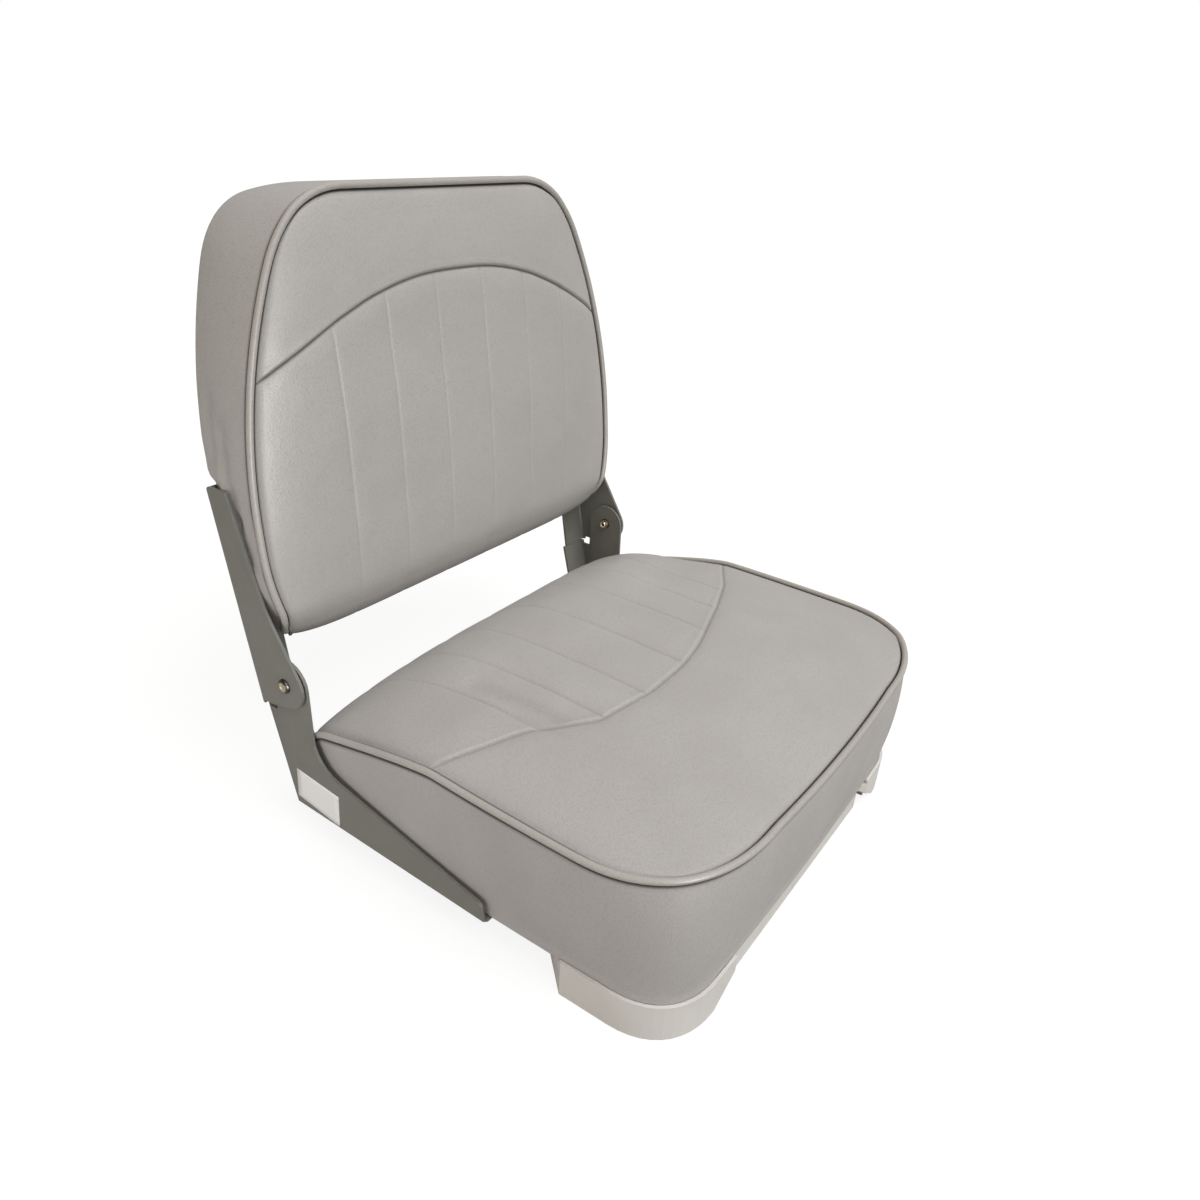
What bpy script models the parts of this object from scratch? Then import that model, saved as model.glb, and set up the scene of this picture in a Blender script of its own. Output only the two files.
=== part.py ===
# Folding boat seat: a channelled cushion on a moulded base, and a backrest that
# folds forward over it on two rivets.
# Metres, Z up. The seat faces -Y, and X = 0 is its plane of symmetry. The origin is the
# middle of the four mounting holes, on the underside of the base tray.

import math

import bmesh
import bpy
import numpy as np
from mathutils import Matrix, Vector

# Fits shared by every piece
gap = 0.0003
hole_clearance = 0.0003
overrun = 0.004
match = 0.00001

# Sheet, cloth and board, and the heights of the stack from the floor up
sheet = 0.0024
vinyl = 0.0012
board_thickness = 0.009
board_half = 0.1995
base_height = 0.025
hem_low = base_height + sheet + gap
board_low = hem_low + vinyl + gap
board_high = board_low + board_thickness
foam_low = board_high + gap

# Hinge, seen from the side
pivot_y = 0.170
pivot_z = 0.145
ear_radius = 0.0195
stop_y = 0.204
stop_z = 0.1165
washer_thickness = 0.0008
washer_radius = 0.0085
rivet_radius = 0.0034
rivet_head_radius = 0.0058
rivet_head_height = 0.0026
rivet_collar_radius = 0.0050
rivet_collar_height = 0.0014
rivet_tube_length = 0.0036
rivet_bore_radius = 0.0020
rivet_bore_depth = 0.0062

# Brackets and arms, bent from sheet
bracket_clearance = 0.0031
bracket_half = board_half + bracket_clearance + sheet
arm_half = bracket_half + gap + washer_thickness + gap + sheet
flange_width = 0.031
bend_radius = 0.0045
relief_setback = 0.0050
relief_width = 0.0095
relief_depth = 0.0032
corner_relief = 0.0075
flange_chamfer = 0.008
bracket_foot_y = 0.180
bracket_neck_y = 0.1495
bracket_neck_z = 0.0785
bracket_neck_radius = 0.030
bracket_nose_y = -0.0220
bracket_nose_z = 0.0435
bracket_nose_radius = 0.006
bracket_end_y = -0.0245
arm_top_y = 0.2345
arm_top_z = 0.287
arm_top_width = 0.0220
arm_waist_y = 0.1840
arm_waist_z = 0.203
arm_waist_radius = 0.090
arm_corner_radius = 0.003

# Seat cushion: s runs forward from the origin, x to the side
seat_rear = 0.157
seat_front = 0.190
seat_overhang = 0.0080
seat_rear_tuck = 0.0005
seat_half = board_half + seat_overhang
seat_rear_half = board_half - seat_rear_tuck
seat_rear_radius = 0.020
seat_front_bow = 0.0035
seat_corner_x = 0.1050
seat_corner_s = 0.0900
seat_rim = 0.139
seat_rim_drop = 0.034
seat_drop_start = 0.020
seat_rear_height = 0.107
seat_crown = 0.020
seat_roll = 0.130
seat_foot_rear = 0.168
seat_foot_front = 0.1805
seat_foot_half = board_half
seat_foot_taper = 0.0030
seat_foot_front_half = board_half - seat_foot_taper
seat_foot_radius = 0.028
seat_foot_bow = 0.0025
seat_foot_corner_x = 0.0550
seat_foot_corner_s = 0.0550
seat_bulge = 0.0040
seat_pinch = 0.0014
bracket_grip = 0.045
hem_width = 0.016

# Sewing: channels fore and aft, one seam across, and a piped edge
panel_margin = 0.0005
panel_half = board_half + panel_margin
seat_channel_shares = (0, 0.275, 0.49, 0.68)
back_channel_shares = (0.13, 0.385, 0.64)
channel_half = 0.0045
channel_depth = 0.0024
seam_half = 0.0050
seam_depth = 0.0020
seat_seam_end = -0.026
seat_seam_middle = 0.049
back_seam_end = 0.193
back_seam_middle = 0.246
edge_notch = 0.0030
piping_radius = 0.0025
quilt = 0.0042

# Backrest: w runs up its front panel from the bottom edge
back_foot_y = 0.172
back_foot_z = 0.175
back_lean = math.radians(5.4)
back_height = 0.309
back_overhang = 0.0075
back_half = board_half + back_overhang
back_widest = 0.075
back_foot_tuck = 0.0025
back_foot_half = board_half - back_foot_tuck
back_foot_radius = 0.015
back_shoulder_w = 0.265
back_shoulder_slope = 0.0435
back_shoulder_turn = 0.0237
back_top_turn = 0.0448
back_shoulder_half = back_half - back_shoulder_slope
back_shoulder_crest = back_shoulder_half - back_shoulder_turn
back_top_half = back_shoulder_crest - back_top_turn
back_crown = 0.013
back_grip_w = 0.1185
back_ledge = 0.006
back_ledge_depth = 0.009
back_knee_w = 0.150
back_knee_depth = 0.062
back_top_depth = 0.076
back_rear_inset = 0.001
back_rear_round = 0.008
back_rear_square = 0.018
back_bulge = 0.0025
back_frame_thickness = 0.005

# Base tray
tray_skin = 0.0025
tray_wall = 0.0025
tray_side_ease = 0.0015
tray_rear = 0.148
tray_corner_radius = 0.020
tray_flare_s = 0.058
tray_front = 0.175
lip_thickness = 0.0025
lip_height = 0.031
lip_start = 0.086
lip_end_round = 0.003
arch_foot_width = 0.0535
arch_slope_width = 0.0310
arch_foot_x = board_half - arch_foot_width
arch_top_x = arch_foot_x - arch_slope_width
arch_height = 0.0205
rib_thickness = 0.0020
rib_spacing = 0.046
platform_radius = 0.012
platform_floor = 0.0035
mount_spacing = 0.127
platform_margin = 0.0185
platform_half = mount_spacing / 2 + platform_margin
mount_hole_radius = 0.0045
mount_boss_radius = 0.0110
screw_boss_radius = 0.0060
screw_boss_low = 0.0100
tray_screw_rib_share = 2.5
tray_screw_x = rib_spacing * tray_screw_rib_share
tray_screw_y = rib_spacing * tray_screw_rib_share

# Nuts and screws
nut_flange_radius = 0.0105
nut_flange_thickness = 0.0014
nut_barrel_radius = 0.0052
nut_bore_radius = 0.0033
nut_length = 0.0082
screw_radius = 0.0020
screw_head_radius = 0.0042
screw_head_height = 0.0022
tray_screw_length = 0.0255
bracket_screw_length = 0.0105
arm_screw_length = 0.0085
bracket_screw_x = bracket_half - flange_width / 2
bracket_screw_front = -0.004
bracket_screw_rear = 0.146
arm_screw_inset = 0.0238
arm_screw_start = 0.085
arm_screw_spacing = 0.065
arm_screw_x = arm_half - arm_screw_inset
arm_screw_distances = (arm_screw_start, arm_screw_start + arm_screw_spacing)

# How the cushions are divided and curved
coarse_shares = (0, 0.275, 0.55, 0.69, 0.83, 0.92, 1)
frame_shares = (0, 0.69, 0.92, 1)
seat_row_shares = (0.11, 0.26, 0.50, 0.75)
back_row_shares = (0.11, 0.30, 0.55, 0.80)
front_row_shares = (0.30, 0.60, 0.85, 1)
ring_shares = (0.35, 0.70)
panel_share_power = 8
corner_share_power = 2.4
crown_share_power = 3
seam_share_power = 1.85
fall_share_power = 2.6
fall_start_share = 0.45
drop_share_power = 1.25
shoulder_share_power = 2.2
curve_steps = 48
arc_step = math.radians(15)
smooth_angle = math.radians(40)
round_sides = 20
hole_sides = 14
screw_sides = 10
small_sides = 8

X_AXIS = Vector((1, 0, 0))
Y_AXIS = Vector((0, 1, 0))
Z_AXIS = Vector((0, 0, 1))


def material(name, colour, roughness, metallic):
    """A plain surface finish."""
    finish = bpy.data.materials.new(name)
    finish.use_nodes = True
    shader = finish.node_tree.nodes["Principled BSDF"]
    shader.inputs["Base Color"].default_value = (*colour, 1.0)
    shader.inputs["Roughness"].default_value = roughness
    shader.inputs["Metallic"].default_value = metallic
    return finish


# Solids


def face_outward(shape):
    """Turn the faces of a closed bmesh outward."""
    bmesh.ops.recalc_face_normals(shape, faces=shape.faces)
    if shape.calc_volume(signed=True) < 0:
        bmesh.ops.reverse_faces(shape, faces=shape.faces)


def finished(name, shape):
    """Turn a bmesh into an object of the scene, with its faces outward."""
    face_outward(shape)
    mesh = bpy.data.meshes.new(name)
    shape.to_mesh(mesh)
    shape.free()
    item = bpy.data.objects.new(name, mesh)
    bpy.context.scene.collection.objects.link(item)
    return item


def smoothed(item):
    """Shade a solid smooth, but for its sharp edges."""
    item.data.shade_smooth()
    item.data.set_sharp_from_angle(angle=smooth_angle)
    return item


def combine(base, tools, operation):
    """Unite, cut or intersect a solid with others, which are used up."""
    for tool in tools:
        step = base.modifiers.new(operation, "BOOLEAN")
        step.operation = operation
        step.solver = "EXACT"
        step.object = tool
        graph = bpy.context.evaluated_depsgraph_get()
        result = bpy.data.meshes.new_from_object(base.evaluated_get(graph))
        base.modifiers.clear()
        base.data = result
        bpy.data.objects.remove(tool)
    return base


def mirrored(item, name):
    """The same solid on the other side of the plane X = 0."""
    shape = bmesh.new()
    shape.from_mesh(item.data)
    shape.transform(Matrix.Diagonal((-1, 1, 1, 1)))
    return smoothed(finished(name, shape))


def rounded(corners):
    """Points of a flat outline from its corners (a, b, radius)."""
    points = []
    for index, (a, b, radius) in enumerate(corners):
        here = Vector((a, b))
        if radius == 0:
            points.append(here)
            continue
        before = (Vector(corners[index - 1][:2]) - here).normalized()
        after = (Vector(corners[(index + 1) % len(corners)][:2]) - here).normalized()
        half = before.angle(after) / 2
        centre = here + (before + after).normalized() * (radius / math.sin(half))
        start = here + before * (radius / math.tan(half)) - centre
        sweep = start.angle_signed(here + after * (radius / math.tan(half)) - centre)
        steps = max(2, math.ceil(abs(sweep) / arc_step))
        for step in range(steps + 1):
            points.append(centre + Matrix.Rotation(-sweep * step / steps, 2) @ start)
    return points


def round_disc(before, centre, radius, after):
    """Corners along a disc, anticlockwise between its tangents from and to two points."""
    ends = []
    for point, side in ((before, 1), (after, -1)):
        offset = Vector(point[:2]) - Vector(centre)
        spread = math.acos(radius / offset.length)
        ends.append(math.atan2(offset.y, offset.x) + side * spread)
    start, end = ends
    end += math.tau * math.ceil((start - end) / math.tau)
    steps = math.ceil((end - start) / arc_step)
    angles = [start + (end - start) * step / steps for step in range(steps + 1)]
    return [(centre[0] + radius * math.cos(a), centre[1] + radius * math.sin(a), 0)
            for a in angles]


def prism(name, outline, a_axis, b_axis, low, high):
    """A solid between two levels of a flat outline."""
    along = a_axis.cross(b_axis)
    shape = bmesh.new()
    ends = [[shape.verts.new(a_axis * a + b_axis * b + along * level) for a, b in outline]
            for level in (low, high)]
    for end in ends:
        shape.faces.new(end)
    for k in range(len(outline)):
        shape.faces.new([ends[0][k - 1], ends[0][k], ends[1][k], ends[1][k - 1]])
    return finished(name, shape)


def upright(name, outline, low, high):
    """A solid standing on an (x, y) outline."""
    return prism(name, outline, X_AXIS, Y_AXIS, low, high)


def sideways(name, outline, low, high):
    """A solid of a (y, z) outline, from one X to another."""
    return prism(name, outline, Y_AXIS, Z_AXIS, low, high)


def rectangle(low_a, high_a, low_b, high_b, radius=0):
    """The corners of a rectangle, rounded where a radius is given."""
    return rounded([(low_a, low_b, radius), (high_a, low_b, radius),
                    (high_a, high_b, radius), (low_a, high_b, radius)])


def turned(name, profile, sides, origin, direction):
    """A body turned about a line through a point, from (radius, height) places."""
    shape = bmesh.new()
    rings = []
    for radius, height in profile:
        angles = [math.tau * k / sides for k in range(sides if radius else 1)]
        rings.append([shape.verts.new((radius * math.cos(a), radius * math.sin(a), height))
                      for a in angles])
    pairs = list(zip(rings, rings[1:]))
    if profile[0][0]:
        pairs.append((rings[-1], rings[0]))
    for low, high in pairs:
        for k in range(sides):
            after = (k + 1) % sides
            corners = [low[k % len(low)], low[after % len(low)],
                       high[after % len(high)], high[k % len(high)]]
            shape.faces.new(dict.fromkeys(corners))
    item = smoothed(finished(name, shape))
    item.location = origin
    item.rotation_mode = "QUATERNION"
    item.rotation_quaternion = Z_AXIS.rotation_difference(direction)
    return item


def drill(origin, direction, radius, low, high, sides=hole_sides):
    """A round cutter along a direction, from one distance to another."""
    profile = [(0, low), (radius, low), (radius, high), (0, high)]
    return turned("drill", profile, sides, origin, direction)


def smooth_step(value, low, high):
    """Rises from 0 to 1 between two places."""
    share = min(1.0, max(0.0, (value - low) / (high - low)))
    return share * share * (3 - 2 * share)


# The cushions' outlines


class Outline:
    """The right half of a cushion's symmetric outline, as points (x, s)."""

    def __init__(self, pieces, seam_end, seam_middle, rows, middle_shares):
        """The third and fifth pieces are the low and the high corner; rows lie below the seam."""
        self.points = np.concatenate(pieces)
        starts = np.cumsum([0] + [len(piece) for piece in pieces])
        self.low = starts[2] + len(pieces[2]) // 2
        self.high = starts[4] + len(pieces[4]) // 2
        self.seam_end = seam_end
        self.seam_middle = seam_middle
        self.rows = rows
        self.middle_shares = middle_shares

    def inset(self, distance):
        """The curve moved inward."""
        along = np.gradient(self.points, axis=0)
        inward = np.column_stack([-along[:, 1], along[:, 0]])
        inward /= np.linalg.norm(inward, axis=1)[:, None]
        return self.points + distance * inward

    def grid(self, distance, columns, bowed=True):
        """Rows of (x, s, u, v): the border follows the outline, and one row the seam."""
        points = self.inset(distance)
        low = points[:self.low + 1]
        side = points[self.low:self.high + 1]
        high = points[self.high:][::-1]
        bow = self.seam_middle if bowed else self.seam_end
        below = self.seam_end - side[0, 1]
        above = side[-1, 1] - self.seam_end
        shares = [(0, (row - side[0, 1]) / below, middle)
                  for row, middle in zip(self.rows, self.middle_shares)]
        shares = [(0, 0, 0)] + shares + [(0, 1 - seam_half / below, 1 - seam_half / below)]
        shares += [(0, 1, 1), (1, seam_half / above, seam_half / above)]
        shares += [(1, row, row) for row in front_row_shares]
        rows = []
        for part, border_share, middle_share in shares:
            share = border_share
            edge_s = (side[0, 1] + share * below, self.seam_end + share * above)[part]
            edge = np.interp(edge_s, side[:, 1], side[:, 0])
            narrow = part * min(1.0, 2 * share)
            row = []
            for c in columns:
                pull = abs(c) ** panel_share_power
                wide = panel_half + (edge - panel_half) * pull
                low_x = panel_half + (side[0, 0] - panel_half) * pull
                low_s = np.interp(abs(c) * low_x, low[:, 0], low[:, 1])
                high_s = np.interp(abs(c) * side[-1, 0], high[:, 0], high[:, 1])
                seam_s = bow + (self.seam_end - bow) * abs(c) ** seam_share_power
                if bowed:
                    share = middle_share + (border_share - middle_share) * pull
                x = c * (wide + (edge - wide) * narrow)
                s = (low_s + share * (seam_s - low_s), seam_s + share * (high_s - seam_s))[part]
                if 0 < share and part == 0 and not bowed:
                    s = edge_s
                row.append((x, s, x / edge, (s - low_s) / (high_s - low_s)))
            rows.append(row)
        return np.array(rows)

    def loop(self, distance):
        """The border of the coarse grid, once round, as points (x, s)."""
        return np.array(border(self.grid(distance, coarse_columns)))[:, :2]


def border(rows):
    """The border of a grid of rows, once round."""
    inner = list(rows[1:-1])
    return (list(rows[0]) + [row[-1] for row in inner] + list(rows[-1])[::-1]
            + [row[0] for row in inner][::-1])


def both_sides(shares):
    """Column shares of the left half and the right half."""
    return sorted({sign * share for share in shares for sign in (-1, 1)})


coarse_columns = both_sides(coarse_shares)
frame_columns = both_sides(frame_shares)


def channel_places(shares):
    """The X of each sewn channel, from its shares of a panel's half width."""
    return [share * panel_half for share in both_sides(shares)]


def fine_columns(channels):
    """Column shares for a panel's edges, channels, their shoulders and the crowns between."""
    edges = [-panel_half] + channels + [panel_half]
    places = [-panel_half, panel_half] + channels
    places += [x + side * channel_half for x in channels for side in (-1, 1)]
    places += [(left + right) / 2 for left, right in zip(edges, edges[1:])]
    return [x / panel_half for x in sorted(places)]


def sewn(grid, heights, columns, channels):
    """Press the channels and the cross seam into a panel's heights."""
    valleys = [x / panel_half for x in channels]
    seam_row = len(grid) - len(front_row_shares) - 2
    for row in range(1, len(grid) - 1):
        for column in range(1, len(columns) - 1):
            depth = seam_depth if row == seam_row else 0
            if row < seam_row and columns[column] in valleys:
                depth = channel_depth
            heights[row, column] -= depth
    return heights


def rear_pieces(half, rear, radius):
    """The stretch along the rear edge, and the corner where it turns forward."""
    turn = np.linspace(-math.pi / 2, 0, curve_steps)
    corner = np.column_stack([half - radius + radius * np.cos(turn),
                              -rear + radius + radius * np.sin(turn)])
    edge = np.linspace(0, half - radius, curve_steps)[:-1]
    return [np.array([[-match, -rear]]), np.column_stack([edge, np.full(len(edge), -rear)]), corner]


def through(places, values):
    """A parabola through three places."""
    weights = np.polyfit(places, values, 2)
    return lambda s: np.polyval(weights, s)


def seat_outline(halves, rear, radius, front, bow, reach):
    """A seat outline: square behind, with a large soft corner in front."""
    reach_x, reach_s = reach
    corner_s = front - bow - reach_s
    half_at = through((-rear + radius, 0, corner_s), halves)
    pieces = rear_pieces(halves[0], rear, radius)
    side = np.linspace(-rear + radius, corner_s, curve_steps)[1:-1]
    pieces.append(np.column_stack([half_at(side), side]))
    centre = half_at(corner_s) - reach_x
    turn = np.linspace(0, math.pi / 2, curve_steps)
    pieces.append(np.column_stack([centre + reach_x * np.cos(turn) ** (2 / corner_share_power),
                                   corner_s + reach_s * np.sin(turn) ** (2 / corner_share_power)]))
    x = np.linspace(centre, 0, curve_steps)[1:]
    pieces.append(np.column_stack([x, front - bow * (x / centre) ** 2]))
    rows = [-seat_rear + share * (seat_seam_end + seat_rear) for share in seat_row_shares]
    return Outline(pieces, seat_seam_end, seat_seam_middle, rows, seat_row_shares)


def seat_top_outline():
    """The seat's outline at its piped edge."""
    return seat_outline((seat_rear_half, seat_half, seat_half), seat_rear, seat_rear_radius,
                        seat_front, seat_front_bow, (seat_corner_x, seat_corner_s))


def seat_foot_outline():
    """The seat's outline round its board."""
    return seat_outline((seat_foot_half, seat_foot_half, seat_foot_front_half), seat_foot_rear,
                        seat_foot_radius, seat_foot_front, seat_foot_bow,
                        (seat_foot_corner_x, seat_foot_corner_s))


def back_outline(square=0):
    """The backrest's outline: widest low down, with sloping shoulders, squarer behind."""
    pieces = rear_pieces(back_foot_half, 0, back_foot_radius)
    w = np.linspace(back_foot_radius, back_shoulder_w, 2 * curve_steps)[1:-1]
    below = np.clip((back_widest - w) / (back_widest - back_foot_radius), 0, None)
    above = np.clip((w - back_widest) / (back_shoulder_w - back_widest), 0, None)
    half = (back_half - (back_half - back_foot_half) * below ** 2
            - (back_half - back_shoulder_half) * above ** shoulder_share_power)
    pieces.append(np.column_stack([half, w]))
    t = np.linspace(0, 1, curve_steps)[:, None]
    start = np.array([back_shoulder_half, back_shoulder_w])
    crest = np.array([back_shoulder_crest + square, back_height])
    end = np.array([back_top_half + square, back_height])
    pieces.append((1 - t) ** 2 * start + 2 * t * (1 - t) * crest + t ** 2 * end)
    x = np.linspace(end[0], 0, curve_steps)[1:]
    pieces.append(np.column_stack([x, np.full(len(x), back_height)]))
    rows = [back_rear_round + back_foot_radius, back_grip_w, back_grip_w + back_ledge, back_knee_w]
    return Outline(pieces, back_seam_end, back_seam_middle, rows, back_row_shares)


# The cushions' surfaces


class Skin:
    """Collects the grids and rings of one closed cushion solid."""

    def __init__(self):
        self.shape = bmesh.new()

    def grid(self, rows):
        """Add a grid of points and give its vertices."""
        verts = [[self.shape.verts.new(point) for point in row] for row in rows]
        for low, high in zip(verts, verts[1:]):
            for k in range(len(low) - 1):
                self.shape.faces.new([low[k], low[k + 1], high[k + 1], high[k]])
        return verts

    def ring(self, points):
        """Add a ring of points."""
        return [self.shape.verts.new(point) for point in points]

    def join(self, ring, other, skipped=()):
        """Faces between two rings of equal count, but for those skipped."""
        for k in range(len(ring)):
            if k not in skipped:
                after = (k + 1) % len(ring)
                self.shape.faces.new([ring[k], ring[after], other[after], other[k]])

    def walls(self, rings, openings=()):
        """Faces along a run of rings, with an opening between two of them."""
        for index, (ring, other) in enumerate(zip(rings, rings[1:])):
            self.join(ring, other, openings if index == len(ring_shares) else ())

    def join_fine(self, rows, columns, ring):
        """Faces between the border of a fine grid and a coarse ring."""
        count = len(coarse_columns)
        nearest = [min(range(len(columns)), key=lambda k: abs(columns[k] - c))
                   for c in coarse_columns]
        ends = ((rows[0], ring[:count]), (rows[-1], ring[count + len(rows) - 2:][:count][::-1]))
        for fine, coarse in ends:
            for k in range(count - 1):
                between = fine[nearest[k]:nearest[k + 1] + 1]
                self.shape.faces.new([coarse[k + 1], coarse[k]] + between)
        right = [row[-1] for row in rows]
        left = [row[0] for row in rows][::-1]
        sides = ((right, ring[count - 1:count + len(rows) - 1]),
                 (left, (ring[2 * count + len(rows) - 3:] + ring[:1])))
        for fine, coarse in sides:
            for k in range(len(fine) - 1):
                self.shape.faces.new([fine[k], fine[k + 1], coarse[k + 1], coarse[k]])

    def rim(self, rings, others, openings):
        """Faces between the edges of the same opening in two skins."""
        self.join(self.opening_edge(rings, openings), self.opening_edge(others, openings))

    def opening_edge(self, rings, openings):
        """The vertices round an opening between two rings."""
        upper, lower = rings[len(ring_shares):len(ring_shares) + 2]
        span = list(openings) + [openings[-1] + 1]
        return [upper[k] for k in span] + [lower[k] for k in span][::-1]


def seat_height(x, s, u, v):
    """The seat's top surface: rolled down behind, a little down in front, crowned across."""
    rise = seat_rim + seat_crown - seat_rear_height
    behind = 1 - np.clip((s + seat_rear) / seat_roll, 0, 1)
    ahead = np.clip((v - fall_start_share) / (1 - fall_start_share), 0, 1)
    centre = (seat_rear_height + rise * (1 - behind ** crown_share_power)
              - seat_crown * ahead ** fall_share_power)
    lower = np.clip((-s - seat_drop_start) / seat_roll, 0, None)
    rim = seat_rim - seat_rim_drop * lower ** drop_share_power
    return rim + (centre - rim) * (1 - np.abs(u) ** crown_share_power)


def seat_top(depth, side, columns, channels=()):
    """The seat's top grid as points, a depth below the skin and inside its sides."""
    grid = seat_top_outline().grid(edge_notch + side, columns)
    heights = sewn(grid, seat_height(*np.moveaxis(grid, 2, 0)), columns, channels)
    return np.dstack([grid[:, :, 0], -grid[:, :, 1], heights - depth])


def seat_rings(depth, side):
    """The rings down the seat's side, from its piped edge to the top of the board."""
    top = seat_top_outline()
    top_loop = top.loop(side)
    outward = (top.loop(side - match) - top_loop) / match
    foot_loop = seat_foot_outline().loop(side)
    edge = np.array(border(seat_top(depth, side, coarse_columns)))[:, 2] - edge_notch
    rings = [np.column_stack([top_loop[:, 0], -top_loop[:, 1], edge])]
    for share in ring_shares:
        loop = top_loop + share * (foot_loop - top_loop)
        free = np.array([smooth_step(s, -bracket_nose_y, -bracket_nose_y + bracket_grip)
                         for s in loop[:, 1]])
        swell = 4 * share * (1 - share) * (seat_bulge * free - seat_pinch * (1 - free))
        loop = loop + outward * swell[:, None]
        heights = edge + share * (foam_low - edge)
        rings.append(np.column_stack([loop[:, 0], -loop[:, 1], heights]))
    rings.append(seat_foot_ring(side, foam_low))
    return rings


def seat_foot_ring(side, height):
    """A level ring of the seat's foot outline."""
    loop = seat_foot_outline().loop(side)
    return np.column_stack([loop[:, 0], -loop[:, 1], np.full(len(loop), height)])


def seat_cover():
    """The seat's sewn vinyl, turned in under the board."""
    channels = channel_places(seat_channel_shares)
    columns = fine_columns(channels)
    skin = Skin()
    top = skin.grid(seat_top(0, 0, columns, channels))
    outer = [skin.ring(points) for points in seat_rings(0, 0)]
    outer.append(skin.ring(seat_foot_ring(0, hem_low)))
    skin.join_fine(top, columns, outer[0])
    outer.append(skin.ring(seat_foot_ring(hem_width, hem_low)))
    outer.append(skin.ring(seat_foot_ring(hem_width, hem_low + vinyl)))
    skin.walls(outer)
    lining = skin.grid(seat_top(quilt, vinyl, coarse_columns))
    inner = [border(lining)] + [skin.ring(points) for points in seat_rings(quilt, vinyl)]
    inner.append(skin.ring(seat_foot_ring(vinyl, hem_low + vinyl)))
    skin.walls(inner)
    skin.join(inner[-1], outer[-1])
    cover = finished("seat_cover", skin.shape)
    holes = [drill((x, y, 0), Z_AXIS, screw_radius + hole_clearance, base_height,
                   board_low + vinyl, small_sides) for x, y in bracket_screw_places()]
    return smoothed(combine(cover, holes, "DIFFERENCE"))


def seat_foam():
    """The foam block inside the seat's cover."""
    skin = Skin()
    top = skin.grid(seat_top(quilt + gap, vinyl + gap, coarse_columns))
    rings = [border(top)]
    rings += [skin.ring(points) for points in seat_rings(quilt + gap, vinyl + gap)]
    skin.walls(rings)
    skin.shape.faces.new(rings[-1])
    return smoothed(finished("seat_foam", skin.shape))


def seat_board():
    """The board that the seat's foam and cover are built on."""
    loop = seat_foot_outline().loop(vinyl + gap + gap)
    board = upright("seat_board", [(x, -s) for x, s in loop], board_low, board_high)
    cutters = []
    for x, y in mount_places():
        flange = nut_flange_radius + hole_clearance
        barrel = nut_barrel_radius + hole_clearance
        profile = [(0, board_low - overrun), (barrel, board_low - overrun),
                   (barrel, board_high - nut_flange_thickness - gap),
                   (flange, board_high - nut_flange_thickness - gap),
                   (flange, board_high + overrun), (0, board_high + overrun)]
        cutters.append(turned("recess", profile, hole_sides, (x, y, 0), Z_AXIS))
    for x, y in bracket_screw_places() + tray_screw_places():
        cutters.append(drill((x, y, 0), Z_AXIS, screw_radius + hole_clearance,
                             board_low - overrun, board_high + overrun, small_sides))
    return combine(board, cutters, "DIFFERENCE")


def piping(name, rows, rings):
    """A round cord along a cushion's piped edge, from its border and first ring."""
    inner = np.array(border(rows))
    outer = rings[0]
    middle = (inner + outer) / 2
    around = np.roll(middle, -1, axis=0) - np.roll(middle, 1, axis=0)
    away = np.cross(around, inner - outer)
    away /= np.linalg.norm(away, axis=1)[:, None]
    centre = middle.mean(axis=0)
    away *= np.sign(np.einsum("ij,ij->i", away, middle - centre))[:, None]
    path = middle + away * (piping_radius + gap)
    curve = bpy.data.curves.new(name, "CURVE")
    curve.dimensions = "3D"
    curve.bevel_depth = piping_radius
    curve.bevel_resolution = 1
    curve.render_resolution_u = 0
    cord = curve.splines.new("POLY")
    cord.points.add(len(path) - 1)
    for point, place in zip(cord.points, path):
        point.co = (*place, 1)
    cord.use_cyclic_u = True
    item = bpy.data.objects.new(name, curve)
    bpy.context.scene.collection.objects.link(item)
    return item


def seat_piping():
    """The cord sewn along the seat's edge."""
    return piping("seat_piping", seat_top(0, 0, coarse_columns), seat_rings(0, 0))


# The backrest's cushion, in its own leaning plane


def arm_rear_line():
    """The foot and the direction of the arm's rear edge in (y, z)."""
    foot = Vector((stop_y, stop_z + gap))
    return foot, (Vector((arm_top_y, arm_top_z)) - foot).normalized()


def back_point(x, w, depth):
    """A point of the backrest: across, up its front panel, and in behind the panel."""
    return np.stack([x, back_foot_y + w * math.sin(back_lean) + depth * math.cos(back_lean),
                     back_foot_z + w * math.cos(back_lean) - depth * math.sin(back_lean)], axis=-1)


def back_depth(w):
    """How deep the cushion is behind its front panel, resting on the arms low down."""
    foot, along = arm_rear_line()
    behind = Vector((along.y, -along.x))
    start = behind.dot(Vector((back_foot_y, back_foot_z)) - foot)
    rise = behind.dot(Vector((math.sin(back_lean), math.cos(back_lean))))
    slope = behind.dot(Vector((math.cos(back_lean), -math.sin(back_lean))))
    rest = [(-sheet - gap - start - place * rise) / slope for place in (0, back_grip_w)]
    places = (0, back_grip_w, back_grip_w + back_ledge, back_knee_w, back_height)
    depths = rest + [rest[1] + back_ledge_depth, back_knee_depth, back_top_depth]
    return np.interp(w, places, depths)


def back_front(depth, side, columns, channels=()):
    """The backrest's crowned front grid, a depth behind the skin and inside its sides."""
    grid = back_outline().grid(edge_notch + side, columns)
    x, w, u, v = np.moveaxis(grid, 2, 0)
    crown = (back_crown * (1 - np.abs(u) ** crown_share_power)
             * (1 - np.abs(2 * v - 1) ** crown_share_power))
    heights = sewn(grid, crown, columns, channels)
    return back_point(x, w, depth - heights)


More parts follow.
